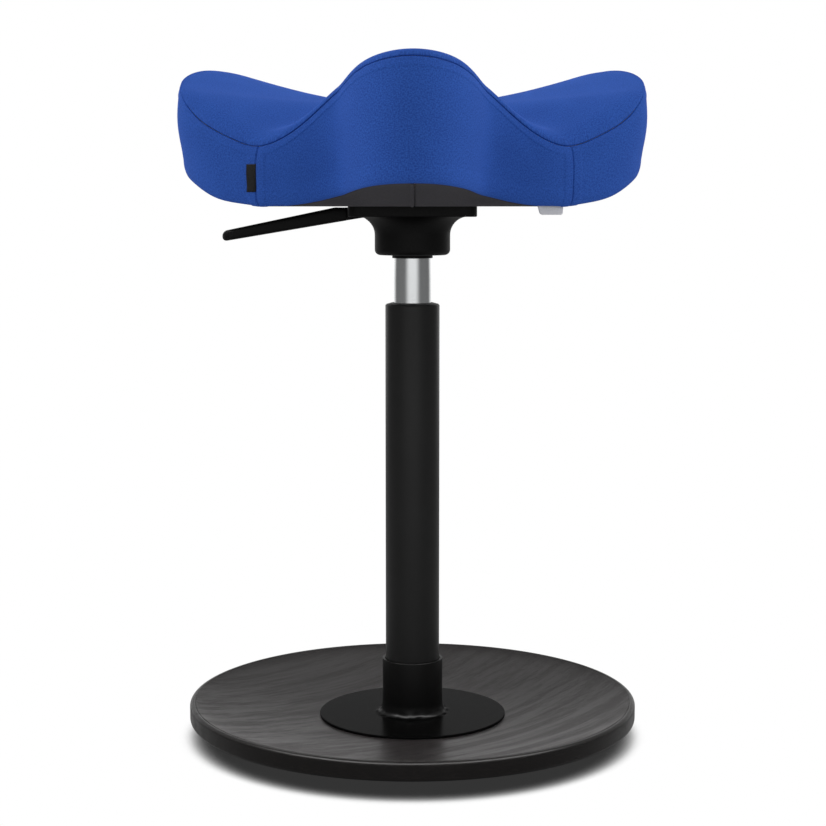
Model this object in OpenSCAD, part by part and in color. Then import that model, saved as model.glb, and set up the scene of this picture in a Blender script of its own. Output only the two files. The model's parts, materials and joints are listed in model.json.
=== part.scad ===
// Balance stool: a three-lobed saddle seat on a height-adjustable column
// that stands on a rocking wooden disc.
// The origin is on the column's axis at the floor, and the front lobe points along -Y.
// The seat is drawn at its lowest height.

/* [Base disc] */
// Outer diameter of the wooden disc
base_d = 500; // [440:5:560]
// Thickness of the wood at the rim
rim_t = 20; // [16:1:26]
// How far the middle of the disc is dished below its rim
dish_depth = 20; // [14:1:22]
// Angle of the rocking bevel under the disc
rocker_angle = 7.4; // [5:0.2:9]
// Outer diameter of the flat patch that the stool stands on
foot_d = 214; // [206:2:240]
// Width of the rubber grip ring
grip_w = 12; // [8:1:16]
// Thickness of the rubber grip ring
grip_t = 4; // [3:0.5:5]
// How far the grip ring stands out of the wood
grip_proud = 1.5; // [1:0.1:2]
// Rounding of the rim's upper edge
rim_round = 5; // [3:0.5:7]

/* [Flange and socket] */
// Diameter of the steel flange on the disc
flange_d = 209; // [190:1:212]
// Thickness of the flange plate
flange_t = 2.4; // [2:0.2:4]
// Height of the socket's mouth above the flange
socket_h = 62; // [50:1:80]
// Wall of the socket at its mouth
socket_wall = 2.75; // [2.5:0.25:4]
// Radius of the flare between socket and flange
flare_r = 18; // [12:1:24]
// Diameter of the circle of screws that hold the flange
screw_circle_d = 160; // [150:2:170]
// Diameter of those screws' shanks
screw_d = 8; // [6:1:8]

/* [Column] */
// Outer diameter of the outer tube
tube_d = 60; // [56:1:64]
// Wall of the outer tube
tube_wall = 2.5; // [2:0.25:3]
// Length of the outer tube
tube_l = 460; // [450:1:468]
// Length of the guide bush inside the tube
bush_l = 80; // [60:2:100]
// Height of the bush's lip above the tube
bush_lip = 2.25; // [1.5:0.25:4]

/* [Gas spring] */
// Outer diameter of the chromed cylinder
cylinder_d = 41; // [38:0.5:43]
// Wall of the chromed cylinder
cylinder_wall = 2.2; // [1.6:0.2:3]
// Diameter of the cylinder at the tip of its taper
taper_tip_d = 38.6; // [37.6:0.2:39]
// Length of the taper
taper_l = 62; // [56:1:66]
// Diameter of the piston rod
rod_d = 10; // [8:0.5:12]
// How far the seat can be raised
stroke = 260; // [200:5:265]
// Diameter of the release button
button_d = 8; // [6:0.5:9]
// Travel of the release button
button_travel = 3.6; // [2.4:0.2:3.8]
// Diameter of each ball in the thrust bearing
ball_d = 4; // [3:0.5:5]
// Number of balls in the thrust bearing
ball_count = 12; // [8:1:14]

/* [Bracket and lever] */
// Side of the bracket's square plate
plate_w = 138; // [130:1:150]
// Thickness of the bracket's plate
plate_t = 11; // [10.5:0.5:14]
// Outer diameter of the bracket's cup
cup_d = 83; // [76:1:88]
// Depth of the cup below the plate
cup_h = 42; // [38:1:46]
// Radius of the fillet between cup and plate
cup_fillet_r = 20; // [14:1:22]
// Distance between the seat bolts
bolt_pitch = 110; // [106:1:114]
// Diameter of the seat bolts
bolt_d = 8; // [6:1:8]
// Distance from the column's axis to the lever's pivot pin
pivot_x = 56; // [50:1:58]
// Diameter of the pivot pin
pin_d = 4; // [3:0.5:4]
// Thickness of the lever's steel bar
arm_t = 5; // [4:0.25:5]
// Width of the lever's steel bar
arm_w = 14; // [12:1:16]
// Distance from the column's axis to the tip of the handle
lever_reach = 209; // [180:1:225]
// Angle by which the handle droops
lever_droop = 11.3; // [10.5:0.1:13]
// Thickness of the handle at its root
handle_root_t = 13.7; // [12.5:0.1:14.5]
// Thickness of the handle at its tip
handle_tip_t = 9.5; // [8:0.25:11]
// Width of the handle at its root
handle_root_w = 20; // [18:1:24]
// Width of the handle at its tip
handle_tip_w = 26; // [20:1:32]

/* [Seat plan] */
// Distance from the axis to the seam at the tip of the front lobe
front_r = 242; // [215:1:248]
// The same on the front lobe's flank
front_flank_r = 158; // [150:1:175]
// The same in the front valley
front_valley_r = 189; // [178:1:205]
// The same on the front of the wing
wing_front_r = 252; // [235:1:262]
// The same on the back of the wing
wing_back_r = 260; // [240:1:268]
// The same between wing and back valley
back_flank_r = 196; // [184:1:212]
// The same in the back valley
back_valley_r = 188; // [178:1:205]

/* [Seat heights] */
// Height of the seat's flat underside at its lowest
seat_z = 590; // [588:0.5:596]
// Height of the top seam above the underside at the tip of the front lobe
front_seam_h = 143; // [130:1:155]
// The same on the front lobe's flank
front_flank_seam_h = 110; // [100:1:120]
// The same in the front valley
front_valley_seam_h = 61; // [56:1:72]
// The same on the front of the wing
wing_front_seam_h = 114; // [100:1:122]
// The same on the back of the wing
wing_back_seam_h = 148; // [130:1:158]
// The same between wing and back valley
back_flank_seam_h = 94; // [84:1:104]
// The same in the back valley
back_valley_seam_h = 64; // [58:1:74]
// Height of the cushion's middle above the underside
middle_h = 109; // [90:1:120]
// How far the underside sweeps up to the front lobe
front_lift = 22; // [14:1:28]
// How far it sweeps up to the wings
wing_lift = 36; // [24:1:42]

/* [Cushion and shell] */
// Height of the crown above the top seam
crown_h = 12; // [8:0.5:16]
// Width over which the crown rolls down to the seam
crown_w = 21; // [18:1:28]
// Bulge of the side panels
side_bulge = 5.5; // [2:0.5:7]
// How far the side panels lean in towards their hem, for each millimetre down
side_lean = 0.055; // [0.02:0.005:0.08]
// Height of the rounded lower corner
hem_h = 20; // [14:1:24]
// Width of the rounded lower corner
hem_w = 8; // [6:0.5:12]
// Thickness of the cover
cover_t = 2; // [1.5:0.25:3]
// Thickness of the fabric lining under the seat
lining_t = 1.2; // [0.8:0.1:2]
// Thickness of the moulded seat shell
shell_t = 10; // [9:0.5:14]
// Radius of the underside's flat middle
flat_r = 100; // [94:1:104]
// Width of the side label
label_w = 9.5; // [8:0.5:14]
// Height of the side label
label_h = 29; // [20:1:32]
// Width of the care label
care_w = 32; // [18:1:36]
// Length of the care label
care_h = 7.4; // [5:0.2:12]

/* [Hidden] */

// Facets of round parts
$fn = 96;
// Radial clearance of parts that run in each other
run_gap = 0.05;
// Clearance between parts that only lie against each other
rest_gap = 0.2;
// Clearance of parts that must never touch
free_gap = 0.3;
// A cut reaches this far past the face that it opens
cut_past = 1;

// Base disc
base_r = base_d / 2;
foot_r = foot_d / 2;
rim_bottom_z = grip_proud + (base_r - foot_r) * tan(rocker_angle);
rim_top_z = rim_bottom_z + rim_t;
disc_top_z = rim_top_z - dish_depth;
rim_under_round = 4;
rim_turn = 108;
dish_r = base_r - rim_round + rim_round * cos(rim_turn);
dish_z = rim_top_z - rim_round + rim_round * sin(rim_turn);
dish_steps = 12;
dish_power = 1.2;
bead_share = 0.12;
bead_power = 14;
grip_r = foot_r - 3;

// Flange and socket
flange_r = flange_d / 2;
flange_top_z = disc_top_z + flange_t;
socket_bore_r = tube_d / 2 + run_gap;
socket_r = socket_bore_r + socket_wall;
socket_foot_r = socket_r + 1.2;
socket_top_z = flange_top_z + socket_h;
flange_edge = 0.7;
mouth_chamfer = 1.2;
flange_hole_r = tube_d / 2 - 4;
nut_r = 7.5;
nut_h = 6.5;
nut_room_r = nut_r + 0.5;
washer_r = 8.5;
washer_t = 1.6;
head_r = 7;
head_h = 2.8;
head_room_r = washer_r + 0.5;
head_room_top_z = grip_proud + head_h + washer_t + 0.7;
screw_top_z = disc_top_z - 0.8;

// Column
tube_bore_r = tube_d / 2 - tube_wall;
tube_bottom_z = flange_top_z;
tube_top_z = tube_bottom_z + tube_l;
tube_floor_z = tube_bottom_z + 3.5;
tube_floor_t = 5;
tube_chamfer = 1;
bush_top_z = tube_top_z + bush_lip;
bush_lip_r = tube_d / 2 - tube_chamfer;
bush_lip_edge = 0.6;
bush_lip_flat = 2.5;

// Thrust bearing and rod
bearing_z = tube_floor_z + tube_floor_t;
bearing_bore_r = rod_d / 2 + 0.4;
bearing_r = 14;
bearing_washer_t = 2;
ball_ring_r = (bearing_bore_r + bearing_r) / 2;
cage_t = 1.6;
ball_z = bearing_z + bearing_washer_t + ball_d / 2;
upper_washer_z = bearing_z + bearing_washer_t + ball_d;
rod_collar_z = upper_washer_z + bearing_washer_t;
rod_collar_h = 5;
rod_collar_r = 9;
rod_groove_w = 1.4;
rod_groove_deep = 1.2;
clip_r = 9.5;
clip_t = rod_groove_w - 0.1;
clip_z = tube_floor_z - free_gap - clip_t;
rod_bottom_z = clip_z - 1.6;
bump_z = rod_collar_z + rod_collar_h;
bump_h = 14;
bump_r = 13;

// Gas spring
cylinder_r = cylinder_d / 2;
cylinder_bore_r = cylinder_r - cylinder_wall;
cylinder_z = bump_z + bump_h + free_gap;
taper_tip_z = seat_z - 18;
taper_start_z = taper_tip_z - taper_l;
cylinder_lip = 3;
lip_bore_r = bump_r - 4;
guide_z = cylinder_z + cylinder_lip;
guide_h = 18;
seal_h = 8;
cylinder_head_h = 37;
cylinder_head_z = taper_tip_z - cylinder_head_h;
piston_h = 15;
piston_r = cylinder_bore_r - free_gap;
piston_z = guide_z + guide_h + seal_h + stroke + 10;
piston_groove_w = 4;
piston_groove_deep = 3;
valve_r = 8;
valve_floor_h = 14;

// Bracket and lever
plate_z = seat_z - plate_t;
plate_corner_r = 12;
cup_r = cup_d / 2;
cup_z = plate_z - cup_h;
cup_round = 6;
cup_lip_r = cylinder_r + 1.8;
cup_lip_h = 3.4;
pivot_z = seat_z - 4.4;
boss_r = pin_d / 2 + 1.9;
slot_w = arm_w + 4;
slot_z = pivot_z - boss_r - 0.4;
slot_end_x = 12;
arm_room_x = 38;
arm_drop = button_travel + 0.6;
arm_bottom_z = pivot_z - arm_t / 2;
bend_x = -(pivot_x + 10);
handle_root_x = -(plate_w / 2 + 3);
handle_top_z = seat_z - 1.7;
arm_in_handle = 45;
arm_end_x = 7;
boss_step = 0.5;
pin_l = arm_w + 20;
button_top_z = arm_bottom_z - 0.15;
valve_shaft_r = 12;
bolt_room_r = bolt_d / 2 + 0.5;
bolt_head_r = 6.6;
bolt_head_h = 3;
bolt_washer_t = 1;
bolt_washer_r = 7.4;
bolt_recess = bolt_head_h + bolt_washer_t + 0.6;

// Seat
station_step = 30;
steps = 60;
panel_steps = steps / 3;
crown_power = 1.74;
plan = [front_r, front_flank_r, front_valley_r, wing_front_r, wing_back_r,
    back_flank_r, back_valley_r];
seam = [front_seam_h, front_flank_seam_h, front_valley_seam_h, wing_front_seam_h,
    wing_back_seam_h, back_flank_seam_h, back_valley_seam_h];
lift = [front_lift, front_lift * 0.52, 0, wing_lift * 0.83, wing_lift, wing_lift * 0.4, 0];
crown_rings = [0.28, 0.54, 0.78, 1];
roll_angles = [22.5, 45, 67.5, 90];
wall_parts = [0, 0.25, 0.5, 0.75, 1];
hem_angles = [30, 60, 90];
under_rings = [1, 0.55, 0];
top_ring_count = len(crown_rings) + len(roll_angles);
side_ring_count = len(wall_parts) + len(hem_angles);
foam_in = cover_t + rest_gap;
shell_z = lining_t + rest_gap;
shell_edge = 3;
t_nut_flange_r = 10;
t_nut_flange_t = 1.5;
t_nut_barrel_r = bolt_d / 2 + 1.2;
t_nut_up = 1;
bolt_short = 1;
panel_gap_angle = 0.05;
// Height of a side panel at which its bulge is side_bulge
bulge_wall_h = 110;
label_angle = -62.5;
care_angle = 57;
care_turn = 42;
care_t = 0.8;

// Value round the seat, from the seven stations of one half, at angle a from the front
function mirrored(i) = let (j = ((i % 12) + 12) % 12) j > 6 ? 12 - j : j;
function around(v, a) =
    let (
        u = a / station_step, i = floor(u), t = u - i,
        p0 = v[mirrored(i - 1)], p1 = v[mirrored(i)],
        p2 = v[mirrored(i + 1)], p3 = v[mirrored(i + 2)]
    )
    0.5 * (2 * p1 + (p2 - p0) * t + (2 * p0 - 5 * p1 + 4 * p2 - p3) * t * t
        + (3 * p1 - p0 - 3 * p2 + p3) * t * t * t);

// A point at angle a from the front, distance r from the axis and height h over the underside
function seat_point(a, rh) = [rh[0] * sin(a), -rh[0] * cos(a), seat_z + rh[1]];

// Height of the cushion's top at distance r, lowered by d
function top_h(a, r, d) =
    let (rs = around(plan, a), hs = around(seam, a) + crown_h)
    middle_h + (hs - middle_h) * pow(r / rs, crown_power) - d;

// Outline of the cushion at angle a, drawn in by d: its top, its side and its underside
function top_outline(a, d) =
    let (rs = around(plan, a), r0 = rs - crown_w)
    concat(
        [for (s = crown_rings) [s * r0, top_h(a, s * r0, d)]],
        [for (p = roll_angles) [r0 + (crown_w - d) * sin(p),
            top_h(a, r0 + crown_w * sin(p), d) - (crown_h - d) * (1 - cos(p))]]
    );
function wall_h(a) = around(seam, a) - around(lift, a) - hem_h;
function wall_out(a, u) = wall_h(a) * (side_bulge / bulge_wall_h * sin(180 * u) - side_lean * u);
function side_outline(a, d, drop) =
    let (rs = around(plan, a) - d, hs = around(seam, a) - drop, hb = around(lift, a) + hem_h)
    concat(
        [for (u = wall_parts) [rs + wall_out(a, u), hs + (hb - hs) * u]],
        [for (p = hem_angles)
            [rs + wall_out(a, 1) - (hem_w - d) * (1 - cos(p)), hb - (hem_h - d) * sin(p)]]
    );
function hem_r(a) = around(plan, a) + wall_out(a, 1) - hem_w;

// Height of the underside at distance r, and its rings from the hem to the flat middle
function under_h(a, r) =
    let (t = max(0, (r - flat_r) / (hem_r(a) - flat_r)))
    around(lift, a) * t * t * (3 - 2 * min(t, 1));
function under_outline(a, inset, up) =
    let (edge = hem_r(a))
    [for (s = under_rings) let (r = min(flat_r + (edge - flat_r) * s, edge - inset))
        [r, under_h(a, r) + up]];

// Distance of the side panel's face from the axis at height h
function face_r(a, h) =
    let (
        rs = around(plan, a), hs = around(seam, a), hb = around(lift, a) + hem_h,
        u = (hs - h) / (hs - hb), c = min(1, (hb - h) / hem_h)
    )
    u < 1 ? rs + wall_out(a, u) : rs + wall_out(a, 1) - hem_w * (1 - sqrt(1 - c * c));

// Radius of the tapered end of the cylinder at height z
function taper_r(z) = cylinder_r - (cylinder_r - taper_tip_d / 2) * (z - taper_start_z) / taper_l;

// Closed solid from rings of points, from a point on top to a point below.
// The first rings, as many as turn, lead outwards and the rest lead back in. Both ways the quads
// are split along the same diagonal, so that neighbouring layers stay parallel.
module ringed(top, rings, bottom, turn) {
    n = len(rings[0]);
    m = len(rings);
    points = concat([top], [for (ring = rings) each ring], [bottom]);
    faces = concat(
        [for (j = [0:n - 1]) [0, 1 + (j + 1) % n, 1 + j]],
        [for (k = [0:m - 2], j = [0:n - 1]) let (a = 1 + k * n, b = a + n, i = (j + 1) % n)
            each k < turn - 1
                ? [[a + j, a + i, b + i], [a + j, b + i, b + j]]
                : [[a + j, a + i, b + j], [a + i, b + i, b + j]]],
        [for (j = [0:n - 1]) let (a = 1 + (m - 1) * n)
            [a + j, a + (j + 1) % n, len(points) - 1]]
    );
    polyhedron(points = points, faces = faces);
}

// Closed strip from loops of points: each loop runs down its outside and up its inside
module strip(loops) {
    m = len(loops[0]);
    last = (len(loops) - 1) * m;
    faces = concat(
        [for (i = [0:len(loops) - 2], k = [0:m - 1]) let (a = i * m, b = a + m, q = (k + 1) % m)
            each k < m / 2
                ? [[a + k, b + k, b + q], [a + k, b + q, a + q]]
                : [[a + k, b + k, a + q], [b + k, b + q, a + q]]],
        [for (k = [0:m / 2 - 2]) each [
            [k, k + 1, m - 2 - k], [k, m - 2 - k, m - 1 - k]]],
        [for (k = [0:m / 2 - 2]) each [
            [last + k, last + m - 2 - k, last + k + 1],
            [last + k, last + m - 1 - k, last + m - 2 - k]]]
    );
    polyhedron(points = [for (loop = loops) each loop], faces = faces);
}

// One ring of points for each entry of an outline that depends on the angle
function to_rings(outlines) =
    [for (k = [0:len(outlines[0]) - 1])
        [for (j = [0:steps - 1]) seat_point(360 * j / steps, outlines[j][k])]];
function backwards(v) = [for (i = [len(v) - 1:-1:0]) v[i]];
function tail(v) = [for (i = [1:len(v) - 1]) v[i]];

module at_seat_bolts() {
    for (x = [-1, 1], y = [-1, 1])
        translate([x * bolt_pitch / 2, y * bolt_pitch / 2, 0]) children();
}

module at_flange_screws() {
    for (i = [0:3])
        rotate([0, 0, 45 + 90 * i]) translate([screw_circle_d / 2, 0, 0]) children();
}

module tube_of(r_out, r_in, z, h) {
    translate([0, 0, z]) difference() {
        cylinder(r = r_out, h = h);
        translate([0, 0, -cut_past]) cylinder(r = r_in, h = h + 2 * cut_past);
    }
}

// Quarter of a circle as points, from angle a0 to a1 about c
function arc(c, r, a0, a1, n) =
    [for (i = [0:n]) let (a = a0 + (a1 - a0) * i / n) [c[0] + r * cos(a), c[1] + r * sin(a)]];

// Height of the dish over its middle, from its foot at t = 0 to the rim at t = 1
function dish_h(t) =
    (dish_z - disc_top_z) * ((1 - bead_share) * pow(t, dish_power) + bead_share * pow(t, bead_power));

module base_disc() {
    color([0.24, 0.23, 0.22]) difference() {
        rotate_extrude() polygon(concat(
            [[0, grip_proud], [foot_r, grip_proud]],
            arc([base_r - rim_under_round, rim_bottom_z + rim_under_round * 0.9],
                rim_under_round, -90 + rocker_angle, 0, 5),
            arc([base_r - rim_round, rim_top_z - rim_round], rim_round, 0, rim_turn, 7),
            [for (i = [dish_steps - 1:-1:0]) let (t = sin(90 * i / dish_steps))
                [foot_r + (dish_r - foot_r) * t, disc_top_z + dish_h(t)]],
            [[0, disc_top_z]]
        ));
        tube_of(grip_r + rest_gap, grip_r - grip_w - rest_gap,
            grip_proud - cut_past, grip_t - grip_proud + rest_gap + cut_past);
        at_flange_screws() {
            translate([0, 0, grip_proud - cut_past])
                cylinder(r = head_room_r, h = head_room_top_z - grip_proud + cut_past);
            translate([0, 0, grip_proud])
                cylinder(r = screw_d / 2 + 0.5, h = disc_top_z);
            translate([0, 0, disc_top_z - nut_h - 0.5])
                cylinder(r = nut_room_r, h = nut_h + 0.5 + cut_past);
        }
    }
}

module grip_ring() {
    color([0.10, 0.10, 0.10]) tube_of(grip_r, grip_r - grip_w, 0, grip_t);
}

module base_flange() {
    color([0.15, 0.15, 0.15]) rotate_extrude() polygon(concat(
        [[flange_hole_r, disc_top_z], [flange_r, disc_top_z], [flange_r, flange_top_z - flange_edge],
            [flange_r - flange_edge, flange_top_z]],
        arc([socket_foot_r + flare_r, flange_top_z + flare_r], flare_r, 270, 180, 8),
        [[socket_r, socket_top_z - flange_edge], [socket_r - flange_edge, socket_top_z],
            [socket_bore_r + mouth_chamfer, socket_top_z],
            [socket_bore_r, socket_top_z - mouth_chamfer], [socket_bore_r, flange_top_z],
            [flange_hole_r, flange_top_z]]
    ));
}

module flange_nuts() {
    color([0.60, 0.60, 0.62]) at_flange_screws() translate([0, 0, disc_top_z - nut_h])
        difference() {
            cylinder(r = nut_r, h = nut_h, $fn = 6);
            translate([0, 0, -cut_past])
                cylinder(r = screw_d / 2 + run_gap, h = nut_h + 2 * cut_past);
        }
}

module flange_washers() {
    color([0.65, 0.65, 0.67]) at_flange_screws()
        tube_of(washer_r, screw_d / 2 + 0.3, head_room_top_z - washer_t, washer_t);
}

module flange_screws() {
    color([0.70, 0.70, 0.72]) at_flange_screws() difference() {
        union() {
            translate([0, 0, head_room_top_z - washer_t - head_h]) cylinder(r = head_r, h = head_h);
            translate([0, 0, head_room_top_z - washer_t])
                cylinder(r = screw_d / 2, h = screw_top_z - head_room_top_z + washer_t);
        }
        translate([0, 0, head_room_top_z - washer_t - head_h - cut_past])
            cylinder(r = screw_d / 3, h = head_h / 2 + cut_past, $fn = 6);
    }
}

module outer_tube() {
    color([0.13, 0.13, 0.13]) difference() {
        rotate_extrude() polygon([
            [tube_bore_r, tube_bottom_z], [tube_d / 2, tube_bottom_z],
            [tube_d / 2, tube_top_z - tube_chamfer], [tube_d / 2 - tube_chamfer, tube_top_z],
            [tube_bore_r, tube_top_z], [tube_bore_r, bearing_z], [rod_d / 2 + 1, bearing_z],
            [rod_d / 2 + 1, tube_floor_z], [tube_bore_r, tube_floor_z]
        ]);
    }
}

module guide_bush() {
    color([0.10, 0.10, 0.10]) rotate_extrude() polygon([
        [cylinder_r + run_gap, tube_top_z - bush_l], [tube_bore_r - run_gap, tube_top_z - bush_l],
        [tube_bore_r - run_gap, tube_top_z], [bush_lip_r, tube_top_z],
        [bush_lip_r, tube_top_z + bush_lip_edge], [cylinder_r + bush_lip_flat, bush_top_z],
        [cylinder_r + run_gap, bush_top_z]
    ]);
}

module bearing_lower_washer() {
    color([0.75, 0.75, 0.77]) tube_of(bearing_r, bearing_bore_r, bearing_z, bearing_washer_t);
}

module bearing_cage() {
    color([0.75, 0.62, 0.30]) difference() {
        tube_of(bearing_r - 1, bearing_bore_r + 0.6, ball_z - cage_t / 2, cage_t);
        for (i = [0:ball_count - 1])
            rotate([0, 0, 360 * i / ball_count]) translate([ball_ring_r, 0, ball_z - cage_t])
                cylinder(r = ball_d / 2 + run_gap, h = 2 * cage_t, $fn = 32);
    }
}

module bearing_balls() {
    color([0.80, 0.80, 0.82]) for (i = [0:ball_count - 1])
        rotate([0, 0, 360 * i / ball_count]) translate([ball_ring_r, 0, ball_z])
            sphere(r = ball_d / 2 - run_gap, $fn = 32);
}

module bearing_upper_washer() {
    color([0.75, 0.75, 0.77]) tube_of(bearing_r, bearing_bore_r, upper_washer_z, bearing_washer_t);
}

module piston_rod() {
    color([0.80, 0.80, 0.82]) difference() {
        union() {
            translate([0, 0, rod_bottom_z])
                cylinder(r = rod_d / 2, h = piston_z + piston_h - rod_bottom_z);
            translate([0, 0, rod_collar_z]) cylinder(r = rod_collar_r, h = rod_collar_h);
        }
        tube_of(rod_d, rod_d / 2 - rod_groove_deep, clip_z - 0.05, rod_groove_w);
    }
}

module rod_clip() {
    color([0.55, 0.55, 0.57]) difference() {
        tube_of(clip_r, rod_d / 2 - rod_groove_deep + 0.1, clip_z, clip_t);
        translate([0, -1.5, clip_z - cut_past]) cube([clip_r + cut_past, 3, clip_t + 2 * cut_past]);
    }
}

module bump_stop() {
    color([0.12, 0.12, 0.12]) tube_of(bump_r, rod_d / 2 + rest_gap, bump_z, bump_h);
}

module piston() {
    color([0.62, 0.62, 0.64]) difference() {
        tube_of(piston_r, rod_d / 2 + run_gap, piston_z, piston_h);
        tube_of(cylinder_r, piston_r - piston_groove_deep,
            piston_z + (piston_h - piston_groove_w) / 2, piston_groove_w);
    }
}

module piston_ring() {
    color([0.15, 0.15, 0.15]) tube_of(cylinder_bore_r - run_gap,
        piston_r - piston_groove_deep + 0.1,
        piston_z + (piston_h - piston_groove_w) / 2 + 0.1, piston_groove_w - 0.2);
}

module gas_cylinder() {
    color([0.78, 0.79, 0.80]) rotate_extrude() polygon([
        [lip_bore_r, cylinder_z], [cylinder_r - 0.8, cylinder_z],
        [cylinder_r, cylinder_z + 0.8], [cylinder_r, taper_start_z],
        [taper_tip_d / 2, taper_tip_z], [valve_r, taper_tip_z],
        [valve_r, cylinder_head_z], [cylinder_bore_r, cylinder_head_z],
        [cylinder_bore_r, guide_z], [lip_bore_r, guide_z]
    ]);
}

module rod_guide() {
    color([0.70, 0.60, 0.35])
        tube_of(cylinder_bore_r - run_gap, rod_d / 2 + run_gap, guide_z, guide_h);
}

module rod_seal() {
    color([0.12, 0.12, 0.12])
        tube_of(cylinder_bore_r - run_gap, rod_d / 2 + run_gap, guide_z + guide_h, seal_h);
}

module valve_body() {
    color([0.72, 0.72, 0.74]) difference() {
        translate([0, 0, cylinder_head_z])
            cylinder(r = valve_r - run_gap, h = taper_tip_z - cylinder_head_z);
        translate([0, 0, cylinder_head_z + valve_floor_h])
            cylinder(r = button_d / 2 + run_gap, h = cylinder_head_h);
    }
}

module release_button() {
    bottom = cylinder_head_z + valve_floor_h + button_travel + 1;
    dome = 0.8;
    color([0.20, 0.20, 0.20]) rotate_extrude() polygon([
        [0, bottom], [button_d / 2, bottom], [button_d / 2, button_top_z - dome],
        [button_d / 2 - dome, button_top_z], [0, button_top_z]
    ]);
}

module rounded_plate(w, r, z, h) {
    for (q = [0, 90])
        rotate([0, 0, q]) translate([-w / 2, -w / 2 + r, z]) cube([w, w - 2 * r, h]);
    for (x = [-1, 1], y = [-1, 1])
        translate([x * (w / 2 - r), y * (w / 2 - r), z]) cylinder(r = r, h = h);
}

module seat_bracket() {
    mouth_z = cup_z - cup_lip_h;
    color([0.09, 0.09, 0.09]) difference() {
        union() {
            rounded_plate(plate_w, plate_corner_r, plate_z, plate_t);
            rotate_extrude() polygon(concat(
                [[0, mouth_z], [cup_lip_r, mouth_z], [cup_lip_r, cup_z]],
                arc([cup_r - cup_round, cup_z + cup_round], cup_round, 270, 360, 6),
                arc([cup_r + cup_fillet_r, plate_z - cup_fillet_r], cup_fillet_r, 180, 90, 8),
                [[cup_r + cup_fillet_r, plate_z + 1], [0, plate_z + 1]]
            ));
        }
        rotate_extrude() polygon([
            [0, mouth_z - cut_past], [taper_r(mouth_z - cut_past) + run_gap, mouth_z - cut_past],
            [taper_r(taper_tip_z) + run_gap, taper_tip_z], [taper_tip_d / 2, taper_tip_z + rest_gap],
            [valve_shaft_r, taper_tip_z + rest_gap], [valve_shaft_r, slot_z + cut_past],
            [0, slot_z + cut_past]
        ]);
        translate([-plate_w / 2 - cut_past, -slot_w / 2, slot_z])
            cube([plate_w / 2 + cut_past + slot_end_x, slot_w, plate_t]);
        translate([-arm_room_x, -slot_w / 2, slot_z - arm_drop])
            cube([arm_room_x + slot_end_x, slot_w, plate_t]);
        translate([-plate_w / 2 - cut_past, -slot_w / 2, plate_z - cut_past])
            cube([plate_w / 2 - pivot_x - 6 + cut_past, slot_w, plate_t + 2 * cut_past]);
        translate([-pivot_x, 0, pivot_z]) rotate([90, 0, 0])
            cylinder(r = pin_d / 2 + run_gap, h = pin_l + 2 * rest_gap, center = true);
        at_seat_bolts() {
            translate([0, 0, plate_z - cut_past])
                cylinder(r = bolt_room_r, h = plate_t + 2 * cut_past);
            translate([0, 0, plate_z - cut_past])
                cylinder(r = bolt_washer_r + 0.5, h = bolt_recess + cut_past);
        }
    }
}

module bracket_washers() {
    color([0.60, 0.60, 0.62]) at_seat_bolts()
        tube_of(bolt_washer_r, bolt_d / 2 + 0.3, plate_z + bolt_recess - bolt_washer_t, bolt_washer_t);
}

module bracket_bolts() {
    head_z = plate_z + bolt_recess - bolt_washer_t - bolt_head_h;
    color([0.55, 0.55, 0.57]) at_seat_bolts() difference() {
        union() {
            translate([0, 0, head_z]) cylinder(r = bolt_head_r, h = bolt_head_h);
            translate([0, 0, head_z])
                cylinder(r = bolt_d / 2, h = seat_z + shell_z + shell_t - bolt_short - head_z);
        }
        translate([0, 0, head_z - cut_past])
            cylinder(r = bolt_d / 3, h = bolt_head_h / 2 + cut_past, $fn = 6);
    }
}

module t_nuts() {
    top_z = seat_z + shell_z + shell_t;
    color([0.72, 0.72, 0.74]) at_seat_bolts() difference() {
        union() {
            translate([0, 0, top_z - t_nut_flange_t])
                cylinder(r = t_nut_flange_r, h = t_nut_flange_t);
            translate([0, 0, seat_z + shell_z + t_nut_up])
                cylinder(r = t_nut_barrel_r, h = shell_t - t_nut_up - t_nut_flange_t / 2);
        }
        translate([0, 0, seat_z]) cylinder(r = bolt_d / 2 + run_gap, h = shell_z + shell_t + cut_past);
    }
}

module lever_pin() {
    color([0.75, 0.75, 0.77]) translate([-pivot_x, 0, pivot_z]) rotate([90, 0, 0])
        cylinder(r = pin_d / 2, h = pin_l, center = true);
}

// The steel bar: level inside the bracket, then drooping with the handle
module arm_bar(grow) {
    half = arm_t / 2 + grow;
    mitre = half * tan(lever_droop / 2);
    end_l = arm_in_handle + grow;
    end_x = bend_x - end_l * cos(lever_droop);
    end_z = -end_l * sin(lever_droop);
    across = [half * sin(lever_droop), -half * cos(lever_droop)];
    translate([0, 0, pivot_z]) rotate([90, 0, 0])
        linear_extrude(height = arm_w + 2 * grow, center = true) polygon([
            [arm_end_x, half], [bend_x - mitre, half], [end_x, end_z] - across,
            [end_x, end_z] + across, [bend_x + mitre, -half], [arm_end_x, -half]
        ]);
}

module lever_arm() {
    color([0.50, 0.50, 0.52]) difference() {
        union() {
            arm_bar(0);
            translate([-pivot_x, 0, pivot_z]) rotate([90, 0, 0])
                cylinder(r = boss_r, h = arm_w - 2 * boss_step, center = true);
        }
        translate([-pivot_x, 0, pivot_z]) rotate([90, 0, 0])
            cylinder(r = pin_d / 2 + run_gap, h = arm_w + 2 * cut_past, center = true);
    }
}

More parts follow.
